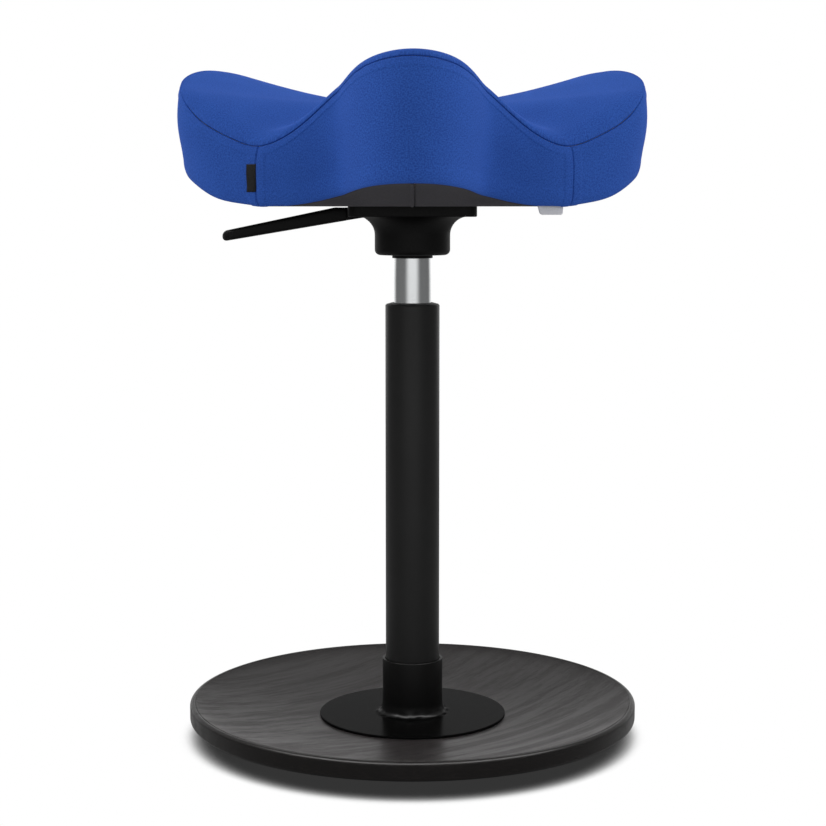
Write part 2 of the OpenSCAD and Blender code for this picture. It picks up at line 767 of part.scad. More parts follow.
module lever_handle() {
    run = lever_reach + handle_root_x;
    tip_r = handle_tip_t / 2;
    tip_x = -lever_reach + tip_r;
    tip_z = handle_top_z - run * tan(lever_droop) - tip_r / 2;
    root_bottom_z = handle_top_z - handle_root_t / cos(lever_droop);
    side = concat(
        [[handle_root_x, root_bottom_z], [handle_root_x, handle_top_z]],
        arc([tip_x, tip_z], tip_r, 90 + lever_droop, 270 + lever_droop, 8)
    );
    end_r = handle_tip_w / 2;
    above = concat(
        [[handle_root_x, -handle_root_w / 2], [handle_root_x, handle_root_w / 2]],
        arc([-lever_reach + end_r, 0], end_r, 90, 270, 12)
    );
    color([0.08, 0.08, 0.08]) difference() {
        intersection() {
            rotate([90, 0, 0]) linear_extrude(height = 2 * handle_tip_w, center = true)
                polygon(side);
            translate([0, 0, seat_z - 100]) linear_extrude(height = 150) polygon(above);
        }
        arm_bar(0.1);
    }
}

module seat_shell() {
    outlines = [for (j = [0:steps - 1]) let (a = 360 * j / steps) concat(
        backwards(under_outline(a, shell_edge, shell_z + shell_t)),
        under_outline(a, shell_edge, shell_z)
    )];
    color([0.70, 0.58, 0.42]) difference() {
        ringed([0, 0, seat_z + shell_z + shell_t], to_rings(outlines), [0, 0, seat_z + shell_z],
            len(under_rings));
        at_seat_bolts() {
            translate([0, 0, seat_z]) cylinder(r = t_nut_barrel_r + run_gap, h = 3 * shell_t);
            translate([0, 0, seat_z + shell_z + shell_t - t_nut_flange_t - run_gap])
                cylinder(r = t_nut_flange_r + rest_gap, h = shell_t);
        }
    }
}

module seat_foam() {
    lift_up = shell_z + shell_t + rest_gap;
    outlines = [for (j = [0:steps - 1]) let (a = 360 * j / steps, r = hem_r(a) - shell_edge + rest_gap)
        concat(
            top_outline(a, foam_in), tail(side_outline(a, foam_in, 0)),
            [[r, around(lift, a) + foam_in]],
            under_outline(a, shell_edge - rest_gap, lift_up)
        )];
    color([0.85, 0.82, 0.62]) ringed([0, 0, seat_z + middle_h - foam_in], to_rings(outlines),
        [0, 0, seat_z + lift_up], top_ring_count + side_ring_count - 1);
}

module cover_top() {
    outlines = [for (j = [0:steps - 1]) let (a = 360 * j / steps)
        concat(top_outline(a, 0), backwards(top_outline(a, cover_t)))];
    color([0.14, 0.30, 0.66]) ringed([0, 0, seat_z + middle_h], to_rings(outlines),
        [0, 0, seat_z + middle_h - cover_t], top_ring_count);
}

// Side panel from angle a0, a third of the way round
module band(a0) {
    span = 360 / 3 - 2 * panel_gap_angle;
    strip([for (i = [0:panel_steps]) let (a = a0 + panel_gap_angle + span * i / panel_steps)
        [for (rh = concat(side_outline(a, 0, rest_gap), backwards(side_outline(a, cover_t, rest_gap))))
            seat_point(a, rh)]]);
}

module cover_front_band() {
    color([0.12, 0.26, 0.60]) band(-60);
}

module cover_left_band() {
    color([0.13, 0.28, 0.62]) band(180);
}

module cover_right_band() {
    color([0.13, 0.28, 0.62]) band(60);
}

module underside_lining() {
    outlines = [for (j = [0:steps - 1]) let (a = 360 * j / steps)
        concat(backwards(under_outline(a, rest_gap, lining_t)), under_outline(a, rest_gap, 0))];
    color([0.22, 0.22, 0.23]) difference() {
        ringed([0, 0, seat_z + lining_t], to_rings(outlines), [0, 0, seat_z], len(under_rings));
        at_seat_bolts() translate([0, 0, seat_z - cut_past])
            cylinder(r = bolt_room_r, h = lining_t + 2 * cut_past);
    }
}

module side_label() {
    low_h = 19.5;
    t = 1;
    lay = rest_gap;
    half = label_w / 2 / face_r(label_angle, low_h + label_h / 2) * 180 / PI;
    heights = [for (i = [0:6]) low_h + label_h * (1 - i / 6)];
    color([0.08, 0.08, 0.08]) strip([for (i = [-1:0.5:1]) let (a = label_angle + i * half) concat(
        [for (h = heights) seat_point(a, [face_r(a, h) + lay + t, h])],
        [for (h = backwards(heights)) seat_point(a, [face_r(a, h) + lay, h])]
    )]);
}

module care_label() {
    r = hem_r(care_angle) + 1;
    color([0.88, 0.88, 0.90]) translate(seat_point(care_angle, [r, around(lift, care_angle)]))
        rotate([0, 0, care_turn]) translate([-care_w / 2, -care_t / 2, -care_h - rest_gap])
            cube([care_w, care_t, care_h]);
}

base_disc();
grip_ring();
base_flange();
flange_nuts();
flange_washers();
flange_screws();
outer_tube();
guide_bush();
bearing_lower_washer();
bearing_cage();
bearing_balls();
bearing_upper_washer();
rod_clip();
piston_rod();
bump_stop();
piston();
piston_ring();
gas_cylinder();
rod_guide();
rod_seal();
valve_body();
release_button();
seat_bracket();
bracket_washers();
bracket_bolts();
t_nuts();
lever_pin();
lever_arm();
lever_handle();
seat_shell();
seat_foam();
cover_top();
cover_front_band();
cover_left_band();
cover_right_band();
underside_lining();
side_label();
care_label();
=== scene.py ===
# %% [markdown]
# A balance stool has a saddle seat with three lobes, a gas spring in a black tube, and a wooden
# disc that rocks. Its construction comes in as a fixed frame, in metres, and this script dresses
# it. Each step first says what the real thing is, and then builds it.

import json
import math

import bmesh
import bpy
from mathutils import Matrix, Vector, noise


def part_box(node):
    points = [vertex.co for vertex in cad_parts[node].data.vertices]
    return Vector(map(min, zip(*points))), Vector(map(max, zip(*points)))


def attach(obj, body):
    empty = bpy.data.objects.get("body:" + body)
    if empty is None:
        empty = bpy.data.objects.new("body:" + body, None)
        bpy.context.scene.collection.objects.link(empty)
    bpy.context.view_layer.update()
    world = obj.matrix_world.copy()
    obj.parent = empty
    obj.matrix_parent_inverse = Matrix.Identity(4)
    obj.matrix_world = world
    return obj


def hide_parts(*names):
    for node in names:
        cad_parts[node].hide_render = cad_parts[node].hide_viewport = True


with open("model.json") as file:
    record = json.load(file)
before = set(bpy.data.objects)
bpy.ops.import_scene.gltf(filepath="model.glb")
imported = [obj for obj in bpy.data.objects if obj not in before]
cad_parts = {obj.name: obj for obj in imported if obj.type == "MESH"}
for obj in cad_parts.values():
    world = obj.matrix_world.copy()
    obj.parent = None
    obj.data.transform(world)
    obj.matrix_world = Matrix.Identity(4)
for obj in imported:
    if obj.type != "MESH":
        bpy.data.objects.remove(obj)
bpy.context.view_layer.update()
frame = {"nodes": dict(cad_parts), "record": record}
mm = 0.001

# %% [markdown]
# The photograph was taken with a long lens from a little above the seat, looking slightly down.
# A camera can be placed by eye or worked out from ellipses in the picture. The round base, the
# flange and the tube give enough ellipses here, so the numbers below are measured ones.

# %% Set the camera
picture_width = 826
focal_in_pixels = 1807
camera_height = 0.590
camera_distance = 1.9965
camera_side_step = 0.6 * mm
camera_pitch = math.radians(6.52)

camera_data = bpy.data.cameras.new("camera")
camera_data.sensor_width = 36
camera_data.lens = camera_data.sensor_width * focal_in_pixels / picture_width
camera = bpy.data.objects.new("camera", camera_data)
camera.location = (camera_side_step, -camera_distance, camera_height)
camera.rotation_euler = (math.pi / 2 - camera_pitch, 0, 0)
bpy.context.scene.collection.objects.link(camera)
bpy.context.scene.camera = camera
bpy.context.scene.view_settings.view_transform = "Standard"
print("lens:", round(camera_data.lens, 2), "mm")

# %% [markdown]
# Node trees get long when every node is wired by hand. Five small helpers keep them readable:
# feed gives a socket a value or a link, node makes a node with its inputs, calc is one sum, and
# mixed and ramped are the two blends that nearly every finish needs.

# %% Node helpers
def feed(tree, socket, value):
    if isinstance(value, bpy.types.NodeSocket):
        tree.links.new(value, socket)
    else:
        socket.default_value = value


def node(tree, kind, inputs=None, **settings):
    made = tree.nodes.new("ShaderNode" + kind)
    for key, value in settings.items():
        setattr(made, key, value)
    for key, value in (inputs or {}).items():
        feed(tree, made.inputs[key], value)
    return made


def calc(tree, operation, *values):
    return node(tree, "Math", dict(enumerate(values)), operation=operation).outputs[0]


def mixed(tree, share, first, second):
    inputs = {0: share, 6: first, 7: second}
    return node(tree, "Mix", inputs, data_type="RGBA").outputs[2]


def ramped(tree, value, low, high, at_low=0.0, at_high=1.0):
    inputs = {"Value": value, "From Min": low, "From Max": high,
              "To Min": at_low, "To Max": at_high}
    return node(tree, "MapRange", inputs, interpolation_type="SMOOTHSTEP").outputs["Result"]


def srgb(red, green, blue):
    """A colour as an eye dropper reads it, from 0 to 255, as the linear colour that nodes use.
    The numbers are those of the sRGB standard."""
    shares = [c / 255 for c in (red, green, blue)]
    linear = [s / 12.92 if s <= 0.04045 else ((s + 0.055) / 1.055) ** 2.4 for s in shares]
    return (*linear, 1.0)


def grey(level):
    return srgb(level, level, level)


print("a grey of 128 is", round(grey(128)[0], 3), "in linear light")

# %% [markdown]
# The stool stands in a white studio. The camera sees plain white, but chrome and lacquer need
# something to reflect: a bright strip in front and behind, and darker flanks, which draw the two
# dark bands down a chromed cylinder. A softbox high in front draws the fine highlights along
# rounded edges, and is there for reflections only. Matt surfaces are lit more from the sides than
# from the front, as by two large softboxes.

# %% Set the studio's levels
sky_front = 0.10
sky_side = 1.52
sky_back = 0.70
sky_top = 0.30
front_strip = 1.0
flank = 0.16
behind = 1.0
high_for_glossy = 0.58
softbox = 9.0
softbox_low = math.sin(math.radians(42))
softbox_high = math.sin(math.radians(66))
softbox_half_angle = 100 / 180
softbox_blur = 0.05
front_half_angle = 34 / 180
behind_from_angle = 132 / 180
strip_blur = 18 / 180
front_to_side_at = (0.04, 0.34)
side_to_back_at = (0.60, 0.90)
horizon_at = (0.05, 0.30)
zenith_at = (0.30, 0.85)
print("the reflected softbox's level is", softbox)

# %% [markdown]
# A world shader can tell a direction by its turn from the front, here as a share of half a turn,
# and by its height. Each level holds over its own stretch, and a soft ramp leads to the next one.
# Light Path tells the kinds of ray apart, so the backdrop stays white without any more light
# falling on the stool.

# %% Build the world
world = bpy.data.worlds.new("studio")
bpy.context.scene.world = world
world.use_nodes = True
tree = world.node_tree
tree.nodes.clear()
path = node(tree, "LightPath").outputs
axes = node(tree, "SeparateXYZ", {0: node(tree, "TexCoord").outputs["Generated"]}).outputs
turn = calc(tree, "ARCTAN2", axes["X"], calc(tree, "MULTIPLY", axes["Y"], -1.0))
turn = calc(tree, "DIVIDE", calc(tree, "ABSOLUTE", turn), math.pi)
round_about = ramped(tree, turn, front_half_angle - strip_blur, front_half_angle + strip_blur,
                     front_strip, flank)
from_behind = ramped(tree, turn, behind_from_angle - strip_blur, behind_from_angle + strip_blur,
                     0.0, behind - flank)
low_light = calc(tree, "ADD", round_about, from_behind)
rise = ramped(tree, axes["Z"], *horizon_at)
glossy = node(tree, "Mix", {0: rise, 2: low_light, 3: high_for_glossy}).outputs[0]
over = ramped(tree, axes["Z"], softbox_low - softbox_blur, softbox_low + softbox_blur)
under = ramped(tree, axes["Z"], softbox_high - softbox_blur, softbox_high + softbox_blur, 1.0, 0.0)
ahead = ramped(tree, turn, softbox_half_angle - strip_blur, softbox_half_angle + strip_blur,
               1.0, 0.0)
in_softbox = calc(tree, "MULTIPLY", calc(tree, "MULTIPLY", over, under), ahead)
glossy = node(tree, "Mix", {0: in_softbox, 2: glossy, 3: softbox}).outputs[0]
front_to_side = ramped(tree, turn, *front_to_side_at, sky_front, sky_side)
side_to_back = ramped(tree, turn, *side_to_back_at, 0.0, sky_back - sky_side)
wall_light = calc(tree, "ADD", front_to_side, side_to_back)
upward = ramped(tree, axes["Z"], *zenith_at)
diffuse = node(tree, "Mix", {0: upward, 2: wall_light, 3: sky_top}).outputs[0]
unseen = node(tree, "Mix", {0: path["Is Glossy Ray"], 2: diffuse, 3: glossy}).outputs[0]
level = node(tree, "Mix", {0: path["Is Camera Ray"], 2: unseen, 3: 1.0}).outputs[0]
background = node(tree, "Background", {"Color": (1, 1, 1, 1), "Strength": level})
node(tree, "OutputWorld", {"Surface": background.outputs[0]})
print("world:", len(tree.nodes), "nodes")

# %% [markdown]
# One large round lamp hangs over the stool. It lights the top of the seat and the disc, and its
# width keeps the shadows soft.

# %% Hang the overhead lamp
lamp_size = 1.0
lamp_power = 7.5
lamp_place = Vector((0.0, -0.1, 2.6))
lamp_target = Vector((0.0, 0.0, 0.3))

lamp_data = bpy.data.lights.new("overhead_softbox", "AREA")
lamp_data.shape = "DISK"
lamp_data.size = lamp_size
lamp_data.energy = lamp_power
lamp = bpy.data.objects.new("overhead_softbox", lamp_data)
lamp.location = lamp_place
lamp.rotation_euler = (lamp_target - lamp_place).to_track_quat("-Z", "Y").to_euler()
bpy.context.scene.collection.objects.link(lamp)
print("overhead lamp:", lamp_power, "W,", lamp_size, "m wide")

# %% [markdown]
# The floor is plain and pale. What the camera sees of it is white, apart from the shadow under
# the disc: the Ambient Occlusion node says how much of the sky a point sees, and a power makes
# the shadow as dense and as tight as a large softbox leaves it. Reflections see the same floor,
# dimmed. Every other ray meets an ordinary pale floor. From below it is clear, so that the
# underside can be looked at.

# %% Lay the floor
floor_half_width = 4.0
floor_albedo = 0.72
shadow_samples = 24
shadow_reach = 0.10
shadow_power = 2.8
floor_white = 3.8
deepest_shadow = 0.034
mirrored_from, mirrored_to = 0.6, 2.2
mirrored_near, mirrored_far = 0.35, 0.25

bm = bmesh.new()
bmesh.ops.create_grid(bm, x_segments=1, y_segments=1, size=floor_half_width)
floor_mesh = bpy.data.meshes.new("floor")
bm.to_mesh(floor_mesh)
bm.free()
floor = bpy.data.objects.new("floor", floor_mesh)
bpy.context.scene.collection.objects.link(floor)
floor_finish = bpy.data.materials.new("floor")
floor_finish.use_nodes = True
tree = floor_finish.node_tree
tree.nodes.clear()
openness = node(tree, "AmbientOcclusion", {"Distance": shadow_reach},
                samples=shadow_samples).outputs["AO"]
brightness = calc(tree, "MULTIPLY", calc(tree, "POWER", openness, shadow_power), floor_white)
brightness = calc(tree, "MINIMUM", calc(tree, "MAXIMUM", brightness, deepest_shadow), 1.0)
away = node(tree, "VectorMath", {0: node(tree, "TexCoord").outputs["Object"]}, operation="LENGTH")
fade = ramped(tree, away.outputs["Value"], mirrored_from, mirrored_to,
              mirrored_near, mirrored_far)
mirrored = calc(tree, "MULTIPLY", brightness, fade)
rays = node(tree, "LightPath").outputs
shown = node(tree, "Mix", {0: rays["Is Glossy Ray"], 2: brightness, 3: mirrored}).outputs[0]
seen = node(tree, "Emission", {"Color": (1, 1, 1, 1), "Strength": shown})
chalk = node(tree, "BsdfDiffuse", {"Color": (floor_albedo, floor_albedo, floor_albedo, 1)})
looked_at = calc(tree, "MAXIMUM", rays["Is Camera Ray"], rays["Is Glossy Ray"])
above = node(tree, "MixShader", {0: looked_at, 1: chalk.outputs[0], 2: seen.outputs[0]}).outputs[0]
below = node(tree, "BsdfTransparent").outputs[0]
from_below = node(tree, "NewGeometry").outputs["Backfacing"]
whole = node(tree, "MixShader", {0: from_below, 1: above, 2: below}).outputs[0]
node(tree, "OutputMaterial", {"Surface": whole})
floor_mesh.materials.append(floor_finish)
print("floor:", 2 * floor_half_width, "m wide")

# %% [markdown]
# Four effects come back in many finishes: cloth, wood grain, a sprayed or moulded coating, and
# the marks that a lathe leaves in metal. Each becomes a node group with named inputs, built once.
# A group hands out colours and values only. The shader itself stays in each material.

# %% Group helpers
def new_group(name, inputs, outputs):
    made = bpy.data.node_groups.new(name, "ShaderNodeTree")
    for label, kind, value in inputs:
        socket = made.interface.new_socket(label, in_out="INPUT", socket_type="NodeSocket" + kind)
        if value is not None:
            socket.default_value = value
    for label, kind in outputs:
        made.interface.new_socket(label, in_out="OUTPUT", socket_type="NodeSocket" + kind)
    entry = made.nodes.new("NodeGroupInput").outputs
    leave = made.nodes.new("NodeGroupOutput").inputs
    return made, entry, leave


def use_group(tree, group, inputs):
    made = tree.nodes.new("ShaderNodeGroup")
    made.node_tree = group
    for key, value in inputs.items():
        feed(tree, made.inputs[key], value)
    return made.outputs


def stretched_noise(tree, vector, scale, detail=2.0, roughness=0.5):
    """Noise whose frequency, per metre, is different along each axis."""
    placed = node(tree, "Mapping", {"Vector": vector, "Scale": scale}).outputs[0]
    inputs = {"Vector": placed, "Scale": 1.0, "Detail": detail, "Roughness": roughness}
    return node(tree, "TexNoise", inputs).outputs[0]


def swing(tree, value, size):
    """A value from 0 to 1, such as noise, as a swing of this size round zero."""
    return calc(tree, "MULTIPLY", calc(tree, "SUBTRACT", value, 0.5), size)


print("node groups so far:", len(bpy.data.node_groups))

# %% [markdown]
# The cover is a milled wool cloth. Its yarns are spun from several blues and then felted, so
# from a step away one sees short flecks along and across the cloth, and close up a soft nap.
# A woven pattern of crossing waves would look too regular, so two stretched noises stand for the
# flecks, one for each thread direction, and a fine noise for the nap.

# %% Build the cloth group
fleck_stretch = 0.45
fleck_range = (0.36, 0.64)
fleck_relief = 0.6
cloud_scale = (26.0, 26.0, 26.0)
cloud_share = 0.5
hair_scale = (2600.0, 2600.0, 2600.0)
hair_share = 0.5

cloth_group, entry, leave = new_group(
    "Cloth",
    [("Vector", "Vector", None), ("Deep", "Color", (0, 0, 0, 1)), ("Light", "Color", (1, 1, 1, 1)),
     ("Threads", "Float", 450.0), ("Nap", "Float", 1.0)],
    [("Colour", "Color"), ("Height", "Float")])
tree = cloth_group
fine = entry["Threads"]
coarse = calc(tree, "MULTIPLY", fine, fleck_stretch)
along = node(tree, "CombineXYZ", {0: coarse, 1: fine, 2: fine}).outputs[0]
across = node(tree, "CombineXYZ", {0: fine, 1: coarse, 2: fine}).outputs[0]
weft = stretched_noise(tree, entry["Vector"], along)
warp = stretched_noise(tree, entry["Vector"], across)
flecks = calc(tree, "MULTIPLY", calc(tree, "ADD", weft, warp), 0.5)
cloud = stretched_noise(tree, entry["Vector"], cloud_scale, 4.0, 0.6)
hair = stretched_noise(tree, entry["Vector"], hair_scale, 3.0, 0.7)
share = calc(tree, "ADD", ramped(tree, flecks, *fleck_range), swing(tree, cloud, cloud_share))
share = calc(tree, "ADD", share, swing(tree, hair, hair_share))
feed(tree, leave["Colour"], mixed(tree, share, entry["Deep"], entry["Light"]))
relief = calc(tree, "ADD", calc(tree, "MULTIPLY", flecks, fleck_relief),
              calc(tree, "MULTIPLY", hair, entry["Nap"]))
feed(tree, leave["Height"], relief)
print("cloth group:", len(tree.nodes), "nodes")

# %% [markdown]
# The disc is stained ash. Ash has broad bands where early and late wood alternate, and short dark
# pores that lie like dashes along the grain. Both are noise stretched along one axis, and the
# whole grain is bowed and drifts a little, because a tree never grows quite straight.

# %% Build the wood group
drift_scale = (4.0, 10.0, 10.0)
drift_size = 0.012
band_stretch = 0.05
band_range = (0.30, 0.70)
fibre_scale = (14.0, 520.0, 520.0)
fibre_share = 1.8
fibre_relief = 0.25
pore_scale = (60.0, 1000.0, 1000.0)
pore_range = (0.55, 0.68)
pore_bands = (0.40, 0.62)
pores_in_late, pores_in_early = 0.9, 0.3
rough_late, rough_early = 0.42, 0.30

wood_group, entry, leave = new_group(
    "Wood",
    [("Vector", "Vector", None), ("Early", "Color", (1, 1, 1, 1)), ("Late", "Color", (0, 0, 0, 1)),
     ("Pore", "Color", (0, 0, 0, 1)), ("Bands", "Float", 60.0), ("Bow", "Float", 0.0)],
    [("Colour", "Color"), ("Roughness", "Float"), ("Height", "Float")])
tree = wood_group
length = node(tree, "SeparateXYZ", {0: entry["Vector"]}).outputs["X"]
bow = calc(tree, "MULTIPLY", calc(tree, "MULTIPLY", length, length), entry["Bow"])
drift = stretched_noise(tree, entry["Vector"], drift_scale, 2.0)
sideways = calc(tree, "SUBTRACT", calc(tree, "MULTIPLY", drift, drift_size), bow)
shift = node(tree, "CombineXYZ", {1: sideways}).outputs[0]
bent = node(tree, "VectorMath", {0: entry["Vector"], 1: shift}, operation="ADD").outputs[0]
slow = calc(tree, "MULTIPLY", entry["Bands"], band_stretch)
spread = node(tree, "CombineXYZ", {0: slow, 1: entry["Bands"], 2: entry["Bands"]}).outputs[0]
bands = stretched_noise(tree, bent, spread, 5.0, 0.65)
fibre = stretched_noise(tree, bent, fibre_scale, 3.0, 0.6)
pores = ramped(tree, stretched_noise(tree, bent, pore_scale, 1.0), *pore_range)
tone = calc(tree, "ADD", ramped(tree, bands, *band_range), swing(tree, fibre, fibre_share))
ground = mixed(tree, tone, entry["Late"], entry["Early"])
open_pore = calc(tree, "MULTIPLY", pores,
                 ramped(tree, bands, *pore_bands, pores_in_late, pores_in_early))
feed(tree, leave["Colour"], mixed(tree, open_pore, ground, entry["Pore"]))
feed(tree, leave["Roughness"], ramped(tree, tone, 0.0, 1.0, rough_late, rough_early))
relief = calc(tree, "MULTIPLY", fibre, fibre_relief)
feed(tree, leave["Height"], calc(tree, "SUBTRACT", relief, open_pore))
print("wood group:", len(tree.nodes), "nodes")

# %% [markdown]
# Powder coat, cast metal, rubber and moulded plastic all have a fine grain over the whole piece
# and a slightly uneven gloss where hands and dust have been. The grain size, the colour and how
# rough it is are what tells one from another, so those are the group's inputs.

# %% Build the coating group
haze_scale = (14.0, 14.0, 14.0)
film_range = (0.45, 0.75)
film_share = 0.5

coating_group, entry, leave = new_group(
    "Coating",
    [("Vector", "Vector", None), ("Colour", "Color", (0, 0, 0, 1)), ("Dust", "Color", (0, 0, 0, 1)),
     ("Grains", "Float", 1200.0), ("Rough", "Float", 0.5), ("Uneven", "Float", 0.06)],
    [("Colour", "Color"), ("Roughness", "Float"), ("Height", "Float")])
tree = coating_group
size = node(tree, "CombineXYZ", {0: entry["Grains"], 1: entry["Grains"], 2: entry["Grains"]})
peel = stretched_noise(tree, entry["Vector"], size.outputs[0], 2.0)
haze = stretched_noise(tree, entry["Vector"], haze_scale, 4.0, 0.6)
film = calc(tree, "MULTIPLY", ramped(tree, haze, *film_range), film_share)
feed(tree, leave["Colour"], mixed(tree, film, entry["Colour"], entry["Dust"]))
wander = swing(tree, haze, entry["Uneven"])
feed(tree, leave["Roughness"], calc(tree, "ADD", entry["Rough"], wander))
feed(tree, leave["Height"], peel)
print("coating group:", len(tree.nodes), "nodes")

# %% [markdown]
# Turned and plated metal has very fine rings round its axis, left by the tool or the polisher.
# Noise that changes fast along the axis and slowly round it draws them. They show as a slight
# change of gloss far more than as colour.

# %% Build the turned metal group
round_scale = 12.0
ring_gloss = 0.10
stain_scale = (30.0, 30.0, 18.0)
stain_range = (0.5, 0.8)
stain_share = 0.35
stain_rough = 0.05

turned_group, entry, leave = new_group(
    "Turned",
    [("Vector", "Vector", None), ("Colour", "Color", (1, 1, 1, 1)), ("Tarnish", "Color", (0, 0, 0, 1)),
     ("Rings", "Float", 1500.0), ("Rough", "Float", 0.2)],
    [("Colour", "Color"), ("Roughness", "Float"), ("Height", "Float")])
tree = turned_group
pitch = node(tree, "CombineXYZ", {0: round_scale, 1: round_scale, 2: entry["Rings"]}).outputs[0]
rings = stretched_noise(tree, entry["Vector"], pitch, 2.0, 0.6)
stain = ramped(tree, stretched_noise(tree, entry["Vector"], stain_scale, 4.0, 0.6), *stain_range)
stained = calc(tree, "MULTIPLY", stain, stain_share)
feed(tree, leave["Colour"], mixed(tree, stained, entry["Colour"], entry["Tarnish"]))
gloss = calc(tree, "ADD", swing(tree, rings, ring_gloss), calc(tree, "MULTIPLY", stain, stain_rough))
feed(tree, leave["Roughness"], calc(tree, "ADD", entry["Rough"], gloss))
feed(tree, leave["Height"], rings)
print("turned group:", len(tree.nodes), "nodes")

# %% [markdown]
# Each finish of the stool is now one call. The shader is made here, in the material itself, and
# whatever is the same all over, such as sheen or specular level, is set on its own socket.

# %% Finish helpers
finishes = {}
polish_fade = 1.5 * mm
edge_fade = 1.2 * mm
edge_polish = 0.22


def shader_of(name, **sockets):
    finish = bpy.data.materials.new(name)
    finish.use_nodes = True
    tree = finish.node_tree
    shader = tree.nodes["Principled BSDF"]
    for label, value in sockets.items():
        shader.inputs[label.replace("_", " ")].default_value = value
    finishes[name] = finish
    return tree, shader


def raise_grain(tree, shader, height, distance):
    bump = node(tree, "Bump", {"Height": height, "Distance": distance, "Strength": 1.0})
    feed(tree, shader.inputs["Normal"], bump.outputs[0])


def in_object(tree, turn=0.0):
    """Object coordinates, turned about Z."""
    place = node(tree, "TexCoord").outputs["Object"]
    inputs = {"Vector": place, "Rotation": (0.0, 0.0, turn)}
    return node(tree, "Mapping", inputs).outputs[0]


def cloth(name, deep, light, threads, nap, depth, **sockets):
    tree, shader = shader_of(name, **sockets)
    flat = node(tree, "UVMap", uv_map="Flat").outputs[0]
    made = use_group(tree, cloth_group, {"Vector": flat, "Deep": deep, "Light": light,
                                         "Threads": threads, "Nap": nap})
    feed(tree, shader.inputs["Base Color"], made["Colour"])
    raise_grain(tree, shader, made["Height"], depth)


def coated(name, colour, dust, grains, rough, depth, uneven=0.06, polish=None, **sockets):
    """A polish, if given, is a height and a coat weight: the coating is glossy above it."""
    tree, shader = shader_of(name, **sockets)
    if polish:
        height = node(tree, "SeparateXYZ", {0: node(tree, "TexCoord").outputs["Object"]}).outputs["Z"]
        weight = ramped(tree, height, polish[0], polish[0] + polish_fade, 0.0, polish[1])
        feed(tree, shader.inputs["Coat Weight"], weight)
    made = use_group(tree, coating_group, {"Vector": in_object(tree), "Colour": colour, "Dust": dust,
                                           "Grains": grains, "Rough": rough, "Uneven": uneven})
    feed(tree, shader.inputs["Base Color"], made["Colour"])
    feed(tree, shader.inputs["Roughness"], made["Roughness"])
    raise_grain(tree, shader, made["Height"], depth)


def turned_metal(name, colour, tarnish, rings, rough, depth, **sockets):
    tree, shader = shader_of(name, Metallic=1.0, **sockets)
    made = use_group(tree, turned_group, {"Vector": in_object(tree), "Colour": colour,
                                          "Tarnish": tarnish, "Rings": rings, "Rough": rough})
    feed(tree, shader.inputs["Base Color"], made["Colour"])
    feed(tree, shader.inputs["Roughness"], made["Roughness"])
    raise_grain(tree, shader, made["Height"], depth)


def wooden(name, early, late, pore, bands, turn, bow, depth, edge=None, edge_from=1.0, **sockets):
    """An edge colour, if given, takes over beyond a distance from the axis and makes the rim darker
    than the top. Hands have also polished the bead there."""
    tree, shader = shader_of(name, **sockets)
    made = use_group(tree, wood_group, {"Vector": in_object(tree, -turn), "Early": early,
                                        "Late": late, "Pore": pore, "Bands": bands, "Bow": bow})
    colour = made["Colour"]
    if edge:
        flat = node(tree, "Mapping", {"Vector": node(tree, "TexCoord").outputs["Object"],
                                      "Scale": (1.0, 1.0, 0.0)}).outputs[0]
        out = node(tree, "VectorMath", {0: flat}, operation="LENGTH").outputs["Value"]
        at_edge = ramped(tree, out, edge_from, edge_from + edge_fade)
        colour = mixed(tree, at_edge, colour, edge)
        feed(tree, shader.inputs["Coat Weight"], calc(tree, "MULTIPLY", at_edge, edge_polish))
    feed(tree, shader.inputs["Base Color"], colour)
    feed(tree, shader.inputs["Roughness"], made["Roughness"])
    raise_grain(tree, shader, made["Height"], depth)


print("four kinds of finish: cloth, coated, turned metal and wooden")

# %% [markdown]
# Cloths: the blue cover, the grey lining under the seat and the two small labels.

# %% Make the cloths
cloth("blue_wool", deep=srgb(42, 78, 163), light=srgb(56, 101, 195), threads=1120.0, nap=0.7,
      depth=0.10 * mm, Roughness=0.95, Specular_IOR_Level=0.10, Sheen_Weight=0.08,
      Sheen_Roughness=0.5, Sheen_Tint=srgb(110, 140, 230))
cloth("grey_lining", deep=srgb(58, 56, 61), light=srgb(70, 68, 74), threads=900.0, nap=0.6,
      depth=0.10 * mm, Roughness=0.9, Specular_IOR_Level=0.15, Sheen_Weight=0.05)
cloth("black_label", deep=grey(20), light=grey(40), threads=1800.0, nap=0.5, depth=0.10 * mm,
      Roughness=0.8, Specular_IOR_Level=0.2)
cloth("white_label", deep=srgb(205, 206, 212), light=srgb(226, 227, 232), threads=2200.0, nap=0.4,
      depth=0.06 * mm, Roughness=0.55, Specular_IOR_Level=0.4)
print("cloths made")

# %% [markdown]
# Wood: the disc's grain runs at a slant, from front left to back right. The moulded shell inside
# the seat is pale beech ply.

# %% Make the woods
grain_turn = math.radians(45)
grain_bow = 0.3
dark_rim_from = 243.5 * mm
wooden("stained_wood", early=srgb(46, 43, 43), late=srgb(34, 31, 31), pore=srgb(15, 13, 13),
       bands=62.0, turn=grain_turn, bow=grain_bow, depth=0.10 * mm, edge=srgb(15, 12, 11),
       edge_from=dark_rim_from, Specular_IOR_Level=0.14, Coat_Roughness=0.2)
wooden("moulded_ply", early=srgb(196, 158, 112), late=srgb(170, 128, 84), pore=srgb(120, 84, 50),
       bands=60.0, turn=0.0, bow=0.0, depth=0.05 * mm, Specular_IOR_Level=0.4)
print("woods made")

# %% [markdown]
# Coatings: a fine textured powder coat on the tube, a smooth black on the flange that is glossier
# on its socket, a matt black on the cast bracket, spark-eroded plastic on the handle, rubber,
# nylon and foam.

